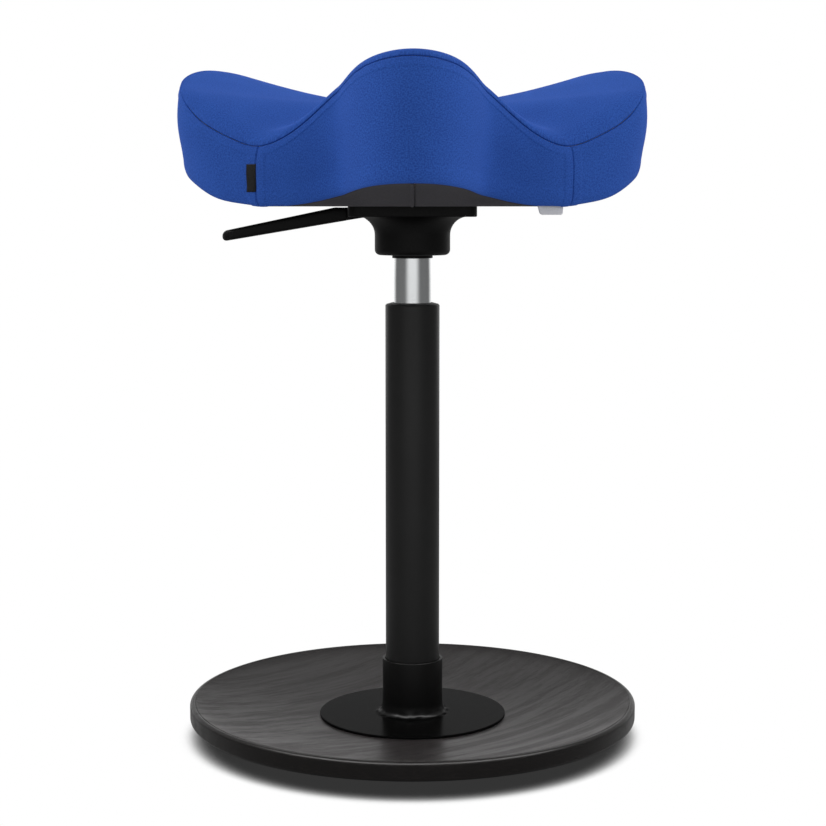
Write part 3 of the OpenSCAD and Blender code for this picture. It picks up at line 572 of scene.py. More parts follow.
# %% Make the coatings
coated("black_powder_coat", colour=grey(22), dust=grey(27), grains=1300.0, rough=0.37,
       depth=0.06 * mm, Specular_IOR_Level=0.30)
socket_polish = (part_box("base_flange")[0].z + 2.8 * mm, 0.32)
coated("smooth_black_coat", colour=grey(12), dust=grey(15), grains=1800.0, rough=0.24,
       depth=0.01 * mm, uneven=0.03, polish=socket_polish, Coat_Roughness=0.3,
       Specular_IOR_Level=0.008)
coated("black_cast_metal", colour=grey(13), dust=grey(16), grains=700.0, rough=0.5,
       depth=0.04 * mm, Specular_IOR_Level=0.16)
coated("handle_plastic", colour=grey(14), dust=grey(18), grains=1700.0, rough=0.5,
       depth=0.05 * mm, Specular_IOR_Level=0.16)
coated("black_rubber", colour=grey(26), dust=grey(38), grains=900.0, rough=0.8,
       depth=0.04 * mm, Specular_IOR_Level=0.3)
coated("black_nylon", colour=grey(20), dust=grey(26), grains=1500.0, rough=0.45,
       depth=0.03 * mm, Specular_IOR_Level=0.35)
coated("seat_foam", colour=srgb(214, 205, 166), dust=srgb(196, 184, 140), grains=800.0,
       rough=0.95, depth=0.5 * mm, Specular_IOR_Level=0.1)
print("coatings made")

# %% [markdown]
# Metals: satin chrome on the gas cylinder, bright zinc on bars and fasteners, ground steel in the
# bearing, a brass cage and turned aluminium.

# %% Make the metals
turned_metal("chromed_steel", colour=srgb(224, 226, 227), tarnish=srgb(205, 207, 208),
             rings=2500.0, rough=0.19, depth=0.005 * mm)
turned_metal("zinc_steel", colour=srgb(190, 192, 196), tarnish=srgb(150, 150, 150),
             rings=900.0, rough=0.38, depth=0.02 * mm)
turned_metal("bearing_steel", colour=srgb(204, 205, 208), tarnish=srgb(150, 148, 142),
             rings=1400.0, rough=0.24, depth=0.01 * mm)
turned_metal("cage_brass", colour=srgb(206, 172, 96), tarnish=srgb(150, 112, 60),
             rings=1100.0, rough=0.32, depth=0.015 * mm)
turned_metal("cast_aluminium", colour=srgb(198, 199, 201), tarnish=srgb(160, 161, 163),
             rings=800.0, rough=0.42, depth=0.02 * mm)
print("finishes:", len(finishes))

# %% [markdown]
# Parts that never show keep their construction mesh and only get their finish. The record says
# which finish each one has, so a loop over it is enough. The lever's bar is coated black, as the
# handle beside it is.

# %% Dress the construction
for part in frame["record"]["subparts"]:
    for material_slot in frame["nodes"][part["node"]].material_slots:
        material_slot.material = finishes[part["material_slot"]]
for material_slot in frame["nodes"]["lever_arm"].material_slots:
    material_slot.material = finishes["black_powder_coat"]

# %% [markdown]
# Three ways of shaping cover the whole stool. Cloth is a flat grid that a function bends into
# place. Turned parts are a profile spun about the axis. The rest starts as a box whose edges are
# bevelled. The helpers below hold what the ways share: naming, shading, riding and replacing.

# %% Shaping helpers
sharp_from = math.radians(38)
merge_cloth = 0.01 * mm
merge_turned = 0.001 * mm


def finish_piece(name, bm, finish, body, stands_for=()):
    """Turns a bmesh into a finished object that rides on a body."""
    for face in bm.faces:
        face.smooth = True
    for edge in bm.edges:
        if len(edge.link_faces) == 2 and edge.calc_face_angle(0.0) > sharp_from:
            edge.smooth = False
    mesh = bpy.data.meshes.new(name)
    bm.to_mesh(mesh)
    bm.free()
    mesh.materials.append(finishes[finish])
    piece = bpy.data.objects.new(name, mesh)
    bpy.context.scene.collection.objects.link(piece)
    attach(piece, body)
    if stands_for:
        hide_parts(*stands_for)
    print(name, len(mesh.polygons), "faces")
    return piece


def bent_grid(columns, rows, place, outward, close=False):
    """A grid bent by place(s, t), which gives a point and its flat place, for s and t from 0 to 1.
    outward(point) says which side is the front."""
    bm = bmesh.new()
    bmesh.ops.create_grid(bm, x_segments=columns, y_segments=rows, size=0.5)
    flat_layer = bm.loops.layers.uv.new("Flat")
    flat = {}
    for vert in bm.verts:
        vert.co, flat[vert] = place(vert.co.x + 0.5, vert.co.y + 0.5)
    for face in bm.faces:
        for loop in face.loops:
            loop[flat_layer].uv = flat[loop.vert]
    if close:
        bmesh.ops.remove_doubles(bm, verts=bm.verts, dist=merge_cloth)
        bmesh.ops.recalc_face_normals(bm, faces=bm.faces)
        return bm
    bm.normal_update()
    facing = sum(face.normal.dot(outward(face.calc_center_median())) for face in bm.faces)
    if facing < 0:
        bmesh.ops.reverse_faces(bm, faces=bm.faces)
    return bm


def thicken(piece, thickness):
    """Cloth gets its thickness on the inside, so that its face stays where it was bent."""
    solid = piece.modifiers.new("thickness", "SOLIDIFY")
    solid.thickness = thickness
    solid.offset = -1
    return piece


def arc(centre, radius, start, end, count):
    """Points of an arc in the (distance, height) plane, with its angles in degrees."""
    angles = [math.radians(start + (end - start) * i / count) for i in range(count + 1)]
    return [(centre[0] + radius * math.cos(a), centre[1] + radius * math.sin(a)) for a in angles]


def turned(profile, steps=160, ring=False):
    """A profile of (distance, height) points spun about the column's axis."""
    bm = bmesh.new()
    verts = [bm.verts.new((r, 0, z)) for r, z in profile]
    pairs = list(zip(verts, verts[1:]))
    if ring:
        pairs.append((verts[-1], verts[0]))
    edges = [bm.edges.new(pair) for pair in pairs]
    bmesh.ops.spin(bm, geom=verts + edges, cent=(0, 0, 0), axis=(0, 0, 1),
                   angle=math.tau, steps=steps, use_merge=True)
    bmesh.ops.remove_doubles(bm, verts=bm.verts, dist=merge_turned)
    bmesh.ops.recalc_face_normals(bm, faces=bm.faces)
    return bm


def carve(bm, cutters, operation="DIFFERENCE"):
    """Cuts or joins other meshes with the Boolean modifier, and gives back the result. Cutters
    reach a little past what they cut."""
    def as_object(name, shape):
        mesh = bpy.data.meshes.new(name)
        shape.to_mesh(mesh)
        shape.free()
        made = bpy.data.objects.new(name, mesh)
        bpy.context.scene.collection.objects.link(made)
        return made

    target = as_object("carving", bm)
    tools = [as_object("cutter", shape) for shape in cutters]
    for tool in tools:
        cut = target.modifiers.new("cut", "BOOLEAN")
        cut.object = tool
        cut.operation = operation
        cut.solver = "EXACT"
    shaped = target.evaluated_get(bpy.context.evaluated_depsgraph_get())
    result = bmesh.new()
    result.from_mesh(shaped.to_mesh())
    shaped.to_mesh_clear()
    for made in [target, *tools]:
        mesh = made.data
        bpy.data.objects.remove(made)
        bpy.data.meshes.remove(mesh)
    return result


def box_between(low, high):
    bm = bmesh.new()
    size = Vector(high) - Vector(low)
    middle = (Vector(high) + Vector(low)) / 2
    place = Matrix.Translation(middle) @ Matrix.Diagonal((*size, 1))
    bmesh.ops.create_cube(bm, size=1, matrix=place)
    return bm


def rod_between(x, y, low, high, radius, segments=48):
    bm = bmesh.new()
    bmesh.ops.create_cone(bm, cap_ends=True, segments=segments, radius1=radius, radius2=radius,
                          depth=high - low, matrix=Matrix.Translation((x, y, (low + high) / 2)))
    return bm


print("edges sharper than", round(math.degrees(sharp_from)), "degrees stay crisp")

# %% [markdown]
# The seat's plan has three lobes. Seven measures, one every 30 degrees from the front round to
# the back, give how far the seam stands out, how high it lies, how high the top rises over it
# and how far the underside sweeps up. A Catmull-Rom curve runs smoothly through them, and the
# other half is the mirror image. Between two of the measures the real seam sags and the belly
# hangs, so a soft bump is taken off there.

# %% Measure the seat
seat_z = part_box("seat_bracket")[1].z
stations = 12
station_angle = math.radians(360 / stations)
plan = [r * mm for r in (242, 158, 189, 252, 250.5, 196, 188)]
seam = [h * mm for h in (143.5, 112.5, 62.5, 125.5, 152.5, 94, 64)]
crown = [h * mm for h in (12.5, 13.5, 12, 2.5, 4, 12, 12)]
seam_sag = 8 * mm
sag_angle = math.radians(80)
sag_spread = math.radians(9)
lift_at = [h * mm for h in (22, 10.78, 0, 29.88, 36, 14.4, 0)]
belly = 6 * mm
belly_angle = math.radians(76)
belly_spread = math.radians(9)
middle_h = 109 * mm
crown_w = 21 * mm
crown_power = 1.6
side_bulge = 5.5 / 110
side_lean = 0.035
hem_h = 20 * mm
hem_w = 8 * mm
hem_run = 23 * mm
flat_r = 100 * mm
beside_r = 66 * mm
beside_from = (math.radians(50), math.radians(78))
beside_to = (math.radians(102), math.radians(130))


def around(values, a):
    """The value at angle a from the front."""
    step = a / station_angle
    first = math.floor(step)
    t = step - first
    p = []
    for i in (first - 1, first, first + 1, first + 2):
        j = i % stations
        p.append(values[min(j, stations - j)])
    return 0.5 * (2 * p[1] + (p[2] - p[0]) * t + (2 * p[0] - 5 * p[1] + 4 * p[2] - p[3]) * t * t
                  + (3 * p[1] - p[0] - 3 * p[2] + p[3]) * t ** 3)


def from_front(a):
    """The turn from the front, whichever way round is shorter."""
    return abs((a + math.pi) % math.tau - math.pi)


def near_turn(a, centre, spread):
    """1 at this turn from the front on either side, falling off like a bell over the spread."""
    return math.exp(-((from_front(a) - centre) / spread) ** 2)


def seam_h(a):
    """The seam sags in a bowl at the front of each wing. The top panel covers that much more."""
    return around(seam, a) - seam_sag * near_turn(a, sag_angle, sag_spread)


def crown_h(a):
    return around(crown, a) + seam_sag * near_turn(a, sag_angle, sag_spread)


def lift(a):
    """How far the underside's edge lies above its middle. A full belly hangs behind the valleys."""
    return max(0.0, around(lift_at, a) - belly * near_turn(a, belly_angle, belly_spread))


def seat_point(a, r, h):
    return Vector((r * math.sin(a), -r * math.cos(a), seat_z + h))


def top_h(a, r):
    edge_h = seam_h(a) + crown_h(a)
    return middle_h + (edge_h - middle_h) * (r / around(plan, a)) ** crown_power


def wall_h(a):
    return seam_h(a) - lift(a) - hem_h


def wall_out(a, u):
    return wall_h(a) * (side_bulge * math.sin(math.pi * u) - side_lean * u)


def hem_r(a):
    return around(plan, a) + wall_out(a, 1) - hem_w


def smooth_step(low, high, x):
    t = min(1.0, max(0.0, (x - low) / (high - low)))
    return t * t * (3 - 2 * t)


def under_h(a, r):
    """The underside is flat round the bracket's plate. On both sides it rises from closer in."""
    turn = from_front(a)
    beside = smooth_step(*beside_from, turn) * (1 - smooth_step(*beside_to, turn))
    flat = flat_r - (flat_r - beside_r) * beside
    return lift(a) * smooth_step(flat, hem_r(a), r)


print("seat underside at", round(seat_z, 4), "m; widest", round(2 * max(plan), 3), "m")

# %% [markdown]
# The cover is sewn from a top panel and three side panels. A sewn seam is a thin groove, because
# the thread pulls both edges in, and the two layers of seam allowance behind it raise the cloth
# for about a centimetre. The foam swells a little between seams. Where three seams meet, the
# cloth puckers. Those effects are functions of the distance from the seam, and every panel uses
# them. The side seams are not quite upright, so their angle changes on the way down.

# %% Shape of a sewn seam
groove_depth = 1.5 * mm
groove_half = 0.85 * mm
allowance_up = 0.9 * mm
allowance_w = 9.5 * mm
allowance_fade = 1.3 * mm
swell = 1.3 * mm
swell_from = 13 * mm
swell_to = (28 * mm, 75 * mm)
pucker_reach = 11 * mm
pucker_depth = 0.55 * mm
pucker_down = 3 * mm
pucker_wave = 2.2 * mm
pucker_fan = 0.45
seam_tops = [math.radians(a) for a in (-58.9, 60.6, 180.0)]
seam_leans = [math.radians(a) for a in (-2.4, 2.2, 0.0)]
seam_bows = [math.radians(a) for a in (0.5, -0.6, 0.0)]


def seam_angle(index, u):
    """The angle of a side seam, at the share u of the way down."""
    return seam_tops[index] + seam_leans[index] * u + seam_bows[index] * math.sin(math.pi * u)


def groove(distance):
    return -groove_depth * math.exp(-(distance / groove_half) ** 2)


def allowance(distance):
    fade = smooth_step(allowance_w - allowance_fade, allowance_w + allowance_fade, distance)
    return allowance_up * (1 - fade)


def swelling(distance):
    return swell * smooth_step(0, swell_from, distance) * (1 - smooth_step(*swell_to, distance))


def undulate(point, size, wave):
    """A slow unevenness, as foam under cloth always has."""
    return size * noise.noise(point / wave)


def turn_between(a, b):
    """The shortest turn from angle b to angle a."""
    return (a - b + math.pi) % math.tau - math.pi


def nearest_seam(a, u):
    """How far, along the plan, the nearest side seam is from angle a."""
    return min(abs(turn_between(a, seam_angle(i, u))) for i in range(3)) * around(plan, a)


def junction_pucker(a, distance):
    """Little dents that fan out from the places where three seams meet."""
    along = nearest_seam(a, 0)
    far = math.hypot(along, distance - pucker_down)
    fan = 1 - pucker_fan + pucker_fan * math.cos(along / pucker_wave)
    return -pucker_depth * math.exp(-(far / pucker_reach) ** 2) * fan


def pushed(place, a, t, out, by):
    """The point place(a, t), moved by a distance along the surface's own normal."""
    small = 1e-4
    point = place(a, t)
    over = place(a + small, t) - place(a - small, t)
    down = place(a, t + small) - place(a, t - small)
    normal = over.cross(down).normalized()
    if normal.dot(out) < 0:
        normal = -normal
    return point + normal * by


print("side seams start at", [round(math.degrees(a), 1) for a in seam_tops], "degrees")

# %% [markdown]
# Cloth is cut flat, so each panel also has a flat size. It is measured where the panel lies: a
# tape follows the bent panel from seam to seam, before the cloth gets its thickness.

# %% Measure cloth
tape_steps = 40
widest_turn = math.radians(105)
back_turn = math.radians(150)


def run_of(points):
    return sum((b - a).length for a, b in zip(points, points[1:]))


def across_plan(place_at):
    """Flat width and length of a panel that covers the plan: place_at(a, share) is a point of it."""
    shares = [i / tape_steps for i in range(tape_steps + 1)]
    half = run_of([place_at(widest_turn, share) for share in shares]) * math.sin(widest_turn)
    front = run_of([place_at(0.0, share) for share in shares])
    back = run_of([place_at(math.pi, share) for share in shares])
    wing = run_of([place_at(back_turn, share) for share in shares])
    return 2 * half, front + max(back, wing * math.cos(math.pi - back_turn))


print("a tape of", tape_steps, "steps measures the cloth")

# %% [markdown]
# The top panel is a saddle. A polar grid would pinch in the middle, where everyone looks, so a
# square grid is pressed into a disc instead: squares stay nearly square in the middle, and the
# outer rows follow the seam. The last fifth of it rolls over the edge down to the seam.

# %% Sew the top panel
top_cells = 168
roll_from = 0.8
roll_arc = 26 * mm
roll_end = 0.9999
calm_from = 0.9
allowance_on_top = 0.4
slack_h = 0.5 * mm
top_wave = 70 * mm
cloth_t = 1.6 * mm


def disc_from_square(s, t):
    """The angle and the share of the radius for a point of the unit square."""
    x, y = 2 * s - 1, 2 * t - 1
    if abs(x) < 1e-9 and abs(y) < 1e-9:
        return 0.0, 0.0
    if abs(x) > abs(y):
        share, turn = x, math.pi / 4 * y / x
        place = Vector((share * math.cos(turn), share * math.sin(turn)))
    else:
        share, turn = y, math.pi / 4 * x / y
        place = Vector((share * math.sin(turn), share * math.cos(turn)))
    return math.atan2(place.x, -place.y), place.length


def roll_point(a, q):
    """The crown's edge: level at q = 0, and upright where it meets the seam at q = 1."""
    p = math.pi / 2 * q
    start = around(plan, a) - crown_w
    r = start + crown_w * math.sin(p)
    return seat_point(a, r, top_h(a, r) - crown_h(a) * (1 - math.cos(p)))


def top_panel_place(s, t):
    a, share = disc_from_square(s, t)
    edge = around(plan, a) - crown_w
    if share < roll_from:
        r = edge * share / roll_from
        point = seat_point(a, r, top_h(a, r))
    else:
        q = (share - roll_from) / (1 - roll_from)
        q = 1 - (1 - q) ** 2
        to_seam = (1 - q) * roll_arc
        raised = allowance_on_top * allowance(to_seam)
        by = groove(to_seam) + raised + junction_pucker(a, to_seam)
        out = seat_point(a, 1, 1) - seat_point(a, 0, 0)
        point = pushed(roll_point, a, min(q, roll_end), out, by)
    calm = smooth_step(1.0, calm_from, share)
    point.z += calm * undulate(point, slack_h, top_wave)
    return point, (point.x, point.y)


top_panel = finish_piece("seat_top_panel", bent_grid(top_cells, top_cells, top_panel_place,
                                                     lambda p: Vector((0, 0, 1))),
                         "blue_wool", "seat", ["cover_top"])


def top_at(a, share):
    """The same panel without its seams, for the tape."""
    edge = around(plan, a) - crown_w
    if share < roll_from:
        r = edge * share / roll_from
        return seat_point(a, r, top_h(a, r))
    return roll_point(a, (share - roll_from) / (1 - roll_from))


top_flat = across_plan(top_at)
thicken(top_panel, cloth_t)

# %% [markdown]
# Each side panel hangs from the top seam, bulges a little, and turns under at the hem. Its rows
# crowd together at the seam and its columns at both ends, where the grooves need fine geometry.
# The flat pattern goes into the UV map in metres, so the cloth's flecks keep their true size.

# %% Sew the side panels
side_columns = 200
side_rows = 96
end_crowding = 0.93
row_crowding = 0.88
seam_gap = 0.12 * mm
hem_tuck = 0.8 * mm
hem_full = 0.6 * mm
hem_full_w = 9 * mm
full_from = math.radians(40)
tuck_w = 1.2 * mm
side_allowance = 0.7
side_groove = 0.8
side_pucker = 0.8
groove_to_hem = 7 * mm
calm_down = 25 * mm
calm_across = 20 * mm
side_wave = 55 * mm
hem_turn_in = 0.4
panel_steps = 24
mean_r = sum(plan) / len(plan)


def side_length(a):
    return wall_h(a) + hem_run


def side_point(a, d):
    """A point of the side, the distance d down from the top seam."""
    wall = wall_h(a)
    rs = around(plan, a)
    if d <= wall:
        u = d / wall
        return seat_point(a, rs + wall_out(a, u), seam_h(a) - d)
    p = min(math.pi / 2, math.pi / 2 * (d - wall) / hem_run)
    bottom = lift(a)
    return seat_point(a, rs + wall_out(a, 1) - hem_w * (1 - math.cos(p)),
                      bottom + hem_h - hem_h * math.sin(p))


def side_relief(a, d):
    length = side_length(a)
    to_side = nearest_seam(a, d / length)
    to_hem = length - d
    raised = max(allowance(d), side_allowance * allowance(to_side)) + swelling(d)
    sunk = groove(d) + groove(to_side) * side_groove * smooth_step(0, groove_to_hem, to_hem)
    tucked = -hem_tuck * math.exp(-(to_hem / tuck_w) ** 2)
    fullness = hem_full * smooth_step(full_from, full_from + station_angle, from_front(a))
    filled = fullness * math.exp(-((to_hem - hem_run) / hem_full_w) ** 2)
    calm = smooth_step(0, calm_down, d) * smooth_step(0, calm_across, to_side)
    slack = calm * undulate(seat_point(a, around(plan, a), -d), slack_h, side_wave)
    return raised + sunk + tucked + filled + slack + junction_pucker(a, d) * side_pucker


def side_panel(name, first, last, stands_for):
    def place(s, t):
        s = s - end_crowding * math.sin(math.tau * s) / math.tau
        t = (1 - row_crowding) * t + row_crowding * t * t
        start, end = seam_angle(first, t), seam_angle(last, t)
        if end < start:
            end += math.tau
        a = start + (end - start) * s
        d = seam_gap + (side_length(a) - seam_gap) * t
        out = seat_point(a, 1, -hem_turn_in * t) - seat_point(a, 0, 0)
        point = pushed(side_point, a, d, out, side_relief(a, d))
        return point, (a * mean_r, -d)

    bm = bent_grid(side_columns, side_rows, place, lambda p: Vector((p.x, p.y, 0)))
    panel = finish_piece(name, bm, "blue_wool", "seat", [stands_for])
    shares = [i / panel_steps for i in range(panel_steps + 1)]
    columns = [[place(s, t)[0] for t in shares] for s in shares]
    return thicken(panel, cloth_t)


side_panels = [
    side_panel("seat_front_panel", 0, 1, "cover_front_band"),
    side_panel("seat_right_panel", 1, 2, "cover_right_band"),
    side_panel("seat_left_panel", 2, 0, "cover_left_band"),
]

# %% [markdown]
# Under the cover is one block of moulded foam on a moulded shell. They hardly show, but they are
# what makes the seat soft and stiff, so both are modelled whole. Each is an outline that is spun
# flat, ring by ring, after which a function lifts every ring into place. An integer on each point
# remembers its ring.

# %% Mould the foam and the shell
foam_in = 3.8 * mm
foam_edge = 3 * mm
shell_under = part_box("seat_shell")[0].z - seat_z
shell_t = 10 * mm
shell_edge = 3.2 * mm
shell_gap = 0.2 * mm
foam_under = shell_under + shell_t + shell_gap
spin_steps = 120
merge_lofted = 1e-4
foam_top_rings = 16
foam_roll_rings = 8
foam_side_rings = 18
under_rings = 14


def from_edge(edge, rise):
    """Points of the underside at angle a, from an edge radius in to the middle."""
    def points(a):
        r = edge(a)
        steps = [r * (1 - i / under_rings) for i in range(under_rings + 1)]
        return [(q, under_h(a, q) + rise) for q in steps]
    return points


def foam_outline(a):
    """The foam at angle a as (distance, height) pairs, from the top's middle to the bottom's."""
    rolled = around(plan, a) - crown_w
    tops = [rolled * i / foam_top_rings for i in range(foam_top_rings + 1)]
    points = [(r, top_h(a, r) - foam_in) for r in tops]
    for i in range(1, foam_roll_rings + 1):
        p = math.pi / 2 * i / foam_roll_rings
        r = rolled + crown_w * math.sin(p)
        h = top_h(a, r) - foam_in - (crown_h(a) - foam_in) * (1 - math.cos(p))
        points.append((rolled + (crown_w - foam_in) * math.sin(p), h))
    for i in range(1, foam_side_rings + 1):
        p = side_point(a, side_length(a) * i / foam_side_rings)
        points.append((p.xy.length - foam_in, max(p.z - seat_z, lift(a) + foam_in)))
    return points + from_edge(lambda a: hem_r(a) - foam_edge, foam_under)(a)


def shell_outline(a):
    """The shell at angle a, from its upper face's middle round its edge to its lower face's."""
    edge = hem_r(a) - shell_edge
    upper = from_edge(lambda a: edge, shell_under + shell_t)(a)
    lower = from_edge(lambda a: edge, shell_under)(a)
    return upper[::-1] + lower


def lofted(outline, steps):
    """A closed form whose outline changes with the angle round the column's axis."""
    bm = bmesh.new()
    ring_of = bm.verts.layers.int.new("ring")
    last = len(outline(0.0)) - 1
    line = []
    for index in range(last + 1):
        radius = 0 if index in (0, last) else index
        vert = bm.verts.new((0, -radius, -1 if index == last else 0))
        vert[ring_of] = index
        line.append(vert)
    edges = [bm.edges.new(pair) for pair in zip(line, line[1:])]
    bmesh.ops.spin(bm, geom=line + edges, cent=(0, 0, 0), axis=(0, 0, 1), angle=math.tau,
                   steps=steps, use_merge=True)
    bmesh.ops.remove_doubles(bm, verts=bm.verts, dist=merge_lofted)
    known = {}
    for vert in bm.verts:
        a = math.atan2(vert.co.x, -vert.co.y) if vert.co.xy.length > 0.5 else 0.0
        known.setdefault(round(a, 5), outline(a))
        vert.co = seat_point(a, *known[round(a, 5)][vert[ring_of]])
    bmesh.ops.recalc_face_normals(bm, faces=bm.faces)
    return bm


foam = finish_piece("seat_foam_core", lofted(foam_outline, spin_steps), "seat_foam", "seat",
                    ["seat_foam"])
finish_piece("seat_moulded_shell", lofted(shell_outline, spin_steps), "moulded_ply", "seat",
             ["seat_shell"])

# %% [markdown]
# The underside is closed by a thin dark lining, sewn from two halves with a seam from front to
# back. The same square-to-disc grid serves, with its middle columns drawn together so that the
# seam's small ridge and groove are real geometry.

# %% Stretch the lining
lining_cells = 140
lining_inset = 0.6 * mm
lining_t = 1.0 * mm
lining_seam_x = 2.0 * mm
middle_crowding = 1.8
ridge_h = 0.8 * mm
ridge_from = (-4.5 * mm, -3.2 * mm)
ridge_to = (0.2 * mm, -0.6 * mm)
dip_h = 1.1 * mm
dip_w = 0.8 * mm
lip_h = 0.7 * mm
lip_from = 0.985


def lining_place(s, t):
    across = 2 * s - 1
    across = math.copysign(abs(across) ** middle_crowding, across)
    a, share = disc_from_square((across + 1) / 2, t)
    r = share * (hem_r(a) - lining_inset)
    point = seat_point(a, r, under_h(a, r))
    from_seam = point.x - lining_seam_x
    ridge = ridge_h * smooth_step(*ridge_from, from_seam) * smooth_step(*ridge_to, from_seam)
    dip = dip_h * math.exp(-(from_seam / dip_w) ** 2)
    edge = lip_h * smooth_step(lip_from, 1.0, share)
    point.z += dip - ridge + edge
    return point, (point.x, point.y)


def lining_at(a, share):
    """The lining without its seam, for the tape."""
    r = share * hem_r(a)
    return seat_point(a, r, under_h(a, r))


lining = finish_piece("seat_lining", bent_grid(lining_cells, lining_cells, lining_place,
                                               lambda p: Vector((0, 0, -1))),
                      "grey_lining", "seat", ["underside_lining"])
lining_flat = across_plan(lining_at)
thicken(lining, lining_t)
print("lining cut from", [round(v, 3) for v in lining_flat], "m")

# %% [markdown]
# Sewn into the left side seam is a small loop of black tape, folded at its free edge, and under
# the right front hangs a white care label. Both are plain here. The loop goes out from the seam,
# turns round and comes back, as a real folded label does.

# %% Sew in the side label
label_w = 10.3 * mm
label_low = 15.2 * mm
label_high = 43.8 * mm
label_t = 0.3 * mm
label_layer_gap = 0.55 * mm
label_free_lift = 1.1 * mm
label_fold = 0.08
label_bulge = 0.035
label_off = 0.25 * mm
label_pinch = 0.4
label_open_by = 0.3
label_ripple = 0.15 * mm
along_wing = 208 * mm


def on_side(a, h, off):
    """A point at height h over the underside, a distance off outside the side panel."""
    drop = seam_h(a) - h
    wall = wall_h(a)
    d = drop
    if drop > wall:
        d = wall + hem_run * 2 / math.pi * math.asin(min(1, (drop - wall) / hem_h))
    out = seat_point(a, 1, -0.2) - seat_point(a, 0, 0)
    return pushed(side_point, a, d, out, side_relief(a, d) + off)


def label_place(s, t):
    h = label_low + (label_high - label_low) * t
    half = (1 - label_fold) / 2
    if s < half:
        share, layer = s / half, 1.0
    elif s > 1 - half:
        share, layer = (1 - s) / half, 0.0
    else:
        turn = math.pi * (s - half) / label_fold
        share, layer = 1 + label_bulge * math.sin(turn), 0.5 + 0.5 * math.cos(turn)
    top = seam_tops[0]
    start = seam_angle(0, (seam_h(top) - h) / side_length(top))
    opened = label_pinch + (1 - label_pinch) * smooth_step(0.0, label_open_by, share)
    ripple = label_ripple * math.sin(9 * t + 2 * share)
    off = label_off + label_layer_gap * layer * opened + label_free_lift * share * share + ripple
    flat_x = share * label_w * (1 if s < 0.5 else -1)
    return on_side(start - label_w * share / along_wing, h, off), (flat_x, h)


side_label = finish_piece("side_label_loop", bent_grid(44, 24, label_place,
                                                       lambda p: Vector((p.x, p.y, 0))),
                          "black_label", "seat", ["side_label"])
thicken(side_label, label_t)

# %% [markdown]
# The care label is white satin tape with rounded lower corners. Its upper end is sewn in between
# hem and lining, and it hangs below the seat and curls forward a little at its free end.

# %% Hang the care label
care_tail = 4 * mm
care_drop = care_tail + 8.6 * mm
care_w = 30 * mm
care_corner = 2.5 * mm
care_taper = 3 * mm
care_angle = math.radians(56.9)
along_hem = 178 * mm
care_inset = 1.6 * mm
care_curl = 1.2 * mm
care_twist = 0.5
care_cut = 0.9
care_t = 0.35 * mm


def care_place(s, t):
    side = 2 * s - 1
    down = care_drop * (1 - t)
    corner = max(0.0, 1 - (care_drop - down) / care_corner)
    trim = care_corner * (1 - math.sqrt(1 - min(1, corner) ** 2)) * care_cut
    along = side * (care_w / 2 - trim - care_taper * down / care_drop)
    a = care_angle + along / along_hem
    off = care_curl * (down / care_drop) ** 2 * (1 + care_twist * side)
    top = lift(a) + care_tail
    return seat_point(a, hem_r(a) - care_inset + off, top - down), (along, down)


care_label = finish_piece("care_label_tape", bent_grid(30, 16, care_place,
                                                       lambda p: Vector((0, -1, 0))),
                          "white_label", "seat", ["care_label"])
thicken(care_label, care_t)

# %% [markdown]
# The disc is turned from laminated ash: dished on top, with a rounded bead at the rim, and
# bevelled underneath so that the stool rocks. One profile holds all of it, the groove of the grip
# ring too, spun round the axis. Holes for the screws are cut afterwards.

# %% Turn the disc
disc_low, disc_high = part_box("base_disc")
base_r = disc_high.x
rim_top = disc_high.z
foot_z = disc_low.z
rim_t = 20 * mm
dish_depth = 20 * mm
rim_round = 4 * mm
rim_under_round = 4 * mm
rim_turn = 112
quirk_w = 1.2 * mm
quirk_depth = 0.5 * mm
foot_r = 107 * mm
rocker_angle = 7.4
rim_steps, rim_under_steps = 22, 16
rim_under_share = 0.9
quirk_shares = (0.3, 0.7)
dish_steps = 41
disc_top = rim_top - dish_depth
rim_bottom = rim_top - rim_t
bead_share = 0.12
bead_power = 14
dish_power = 1.2
grip_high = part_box("grip_ring")[1]
grip_r = grip_high.x
grip_w = 12 * mm
grip_room = 0.2 * mm
screws = 4
first_screw = 45
screw_circle = 80 * mm
screw_hole_r = 4.5 * mm
washer_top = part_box("flange_washers")[1].z
head_room_r = 9 * mm
past = 1 * mm

dish_r, dish_z = arc((base_r - rim_round, rim_top - rim_round), rim_round, rim_turn, rim_turn, 1)[0]


def dish_h(t):
    return (dish_z - disc_top) * ((1 - bead_share) * t ** dish_power + bead_share * t ** bead_power)


dish = []
dish_end = dish_r - quirk_w
for i in range(dish_steps + 1):
    t = math.sin(math.pi / 2 * i / dish_steps)
    dish.append((foot_r + (dish_end - foot_r) * t, disc_top + dish_h(t)))
dish += [(dish_end + share * quirk_w, dish_z - quirk_depth) for share in quirk_shares]
grip_inner = grip_r - grip_w - grip_room
profile = [(0, disc_top), *dish]
profile += arc((base_r - rim_round, rim_top - rim_round), rim_round, rim_turn, 0, rim_steps)
profile += arc((base_r - rim_under_round, rim_bottom + rim_under_share * rim_under_round),
               rim_under_round, 0, rocker_angle - 90, rim_under_steps)
profile += [(foot_r, foot_z), (grip_r + grip_room, foot_z),
            (grip_r + grip_room, grip_high.z + grip_room),
            (grip_inner, grip_high.z + grip_room), (grip_inner, foot_z), (0, foot_z)]
bm = turned(profile, steps=256)
cutters = []
for i in range(screws):
    a = math.radians(first_screw + 360 / screws * i)
    x, y = screw_circle * math.cos(a), screw_circle * math.sin(a)
    cutters.append(rod_between(x, y, foot_z - past, washer_top, head_room_r))
    cutters.append(rod_between(x, y, foot_z, disc_top + past, screw_hole_r))
finish_piece("rocking_disc", carve(bm, cutters), "stained_wood", "base", ["base_disc"])

# %% [markdown]
# Under the disc lies a rubber ring. It is a plain band with its edges broken.

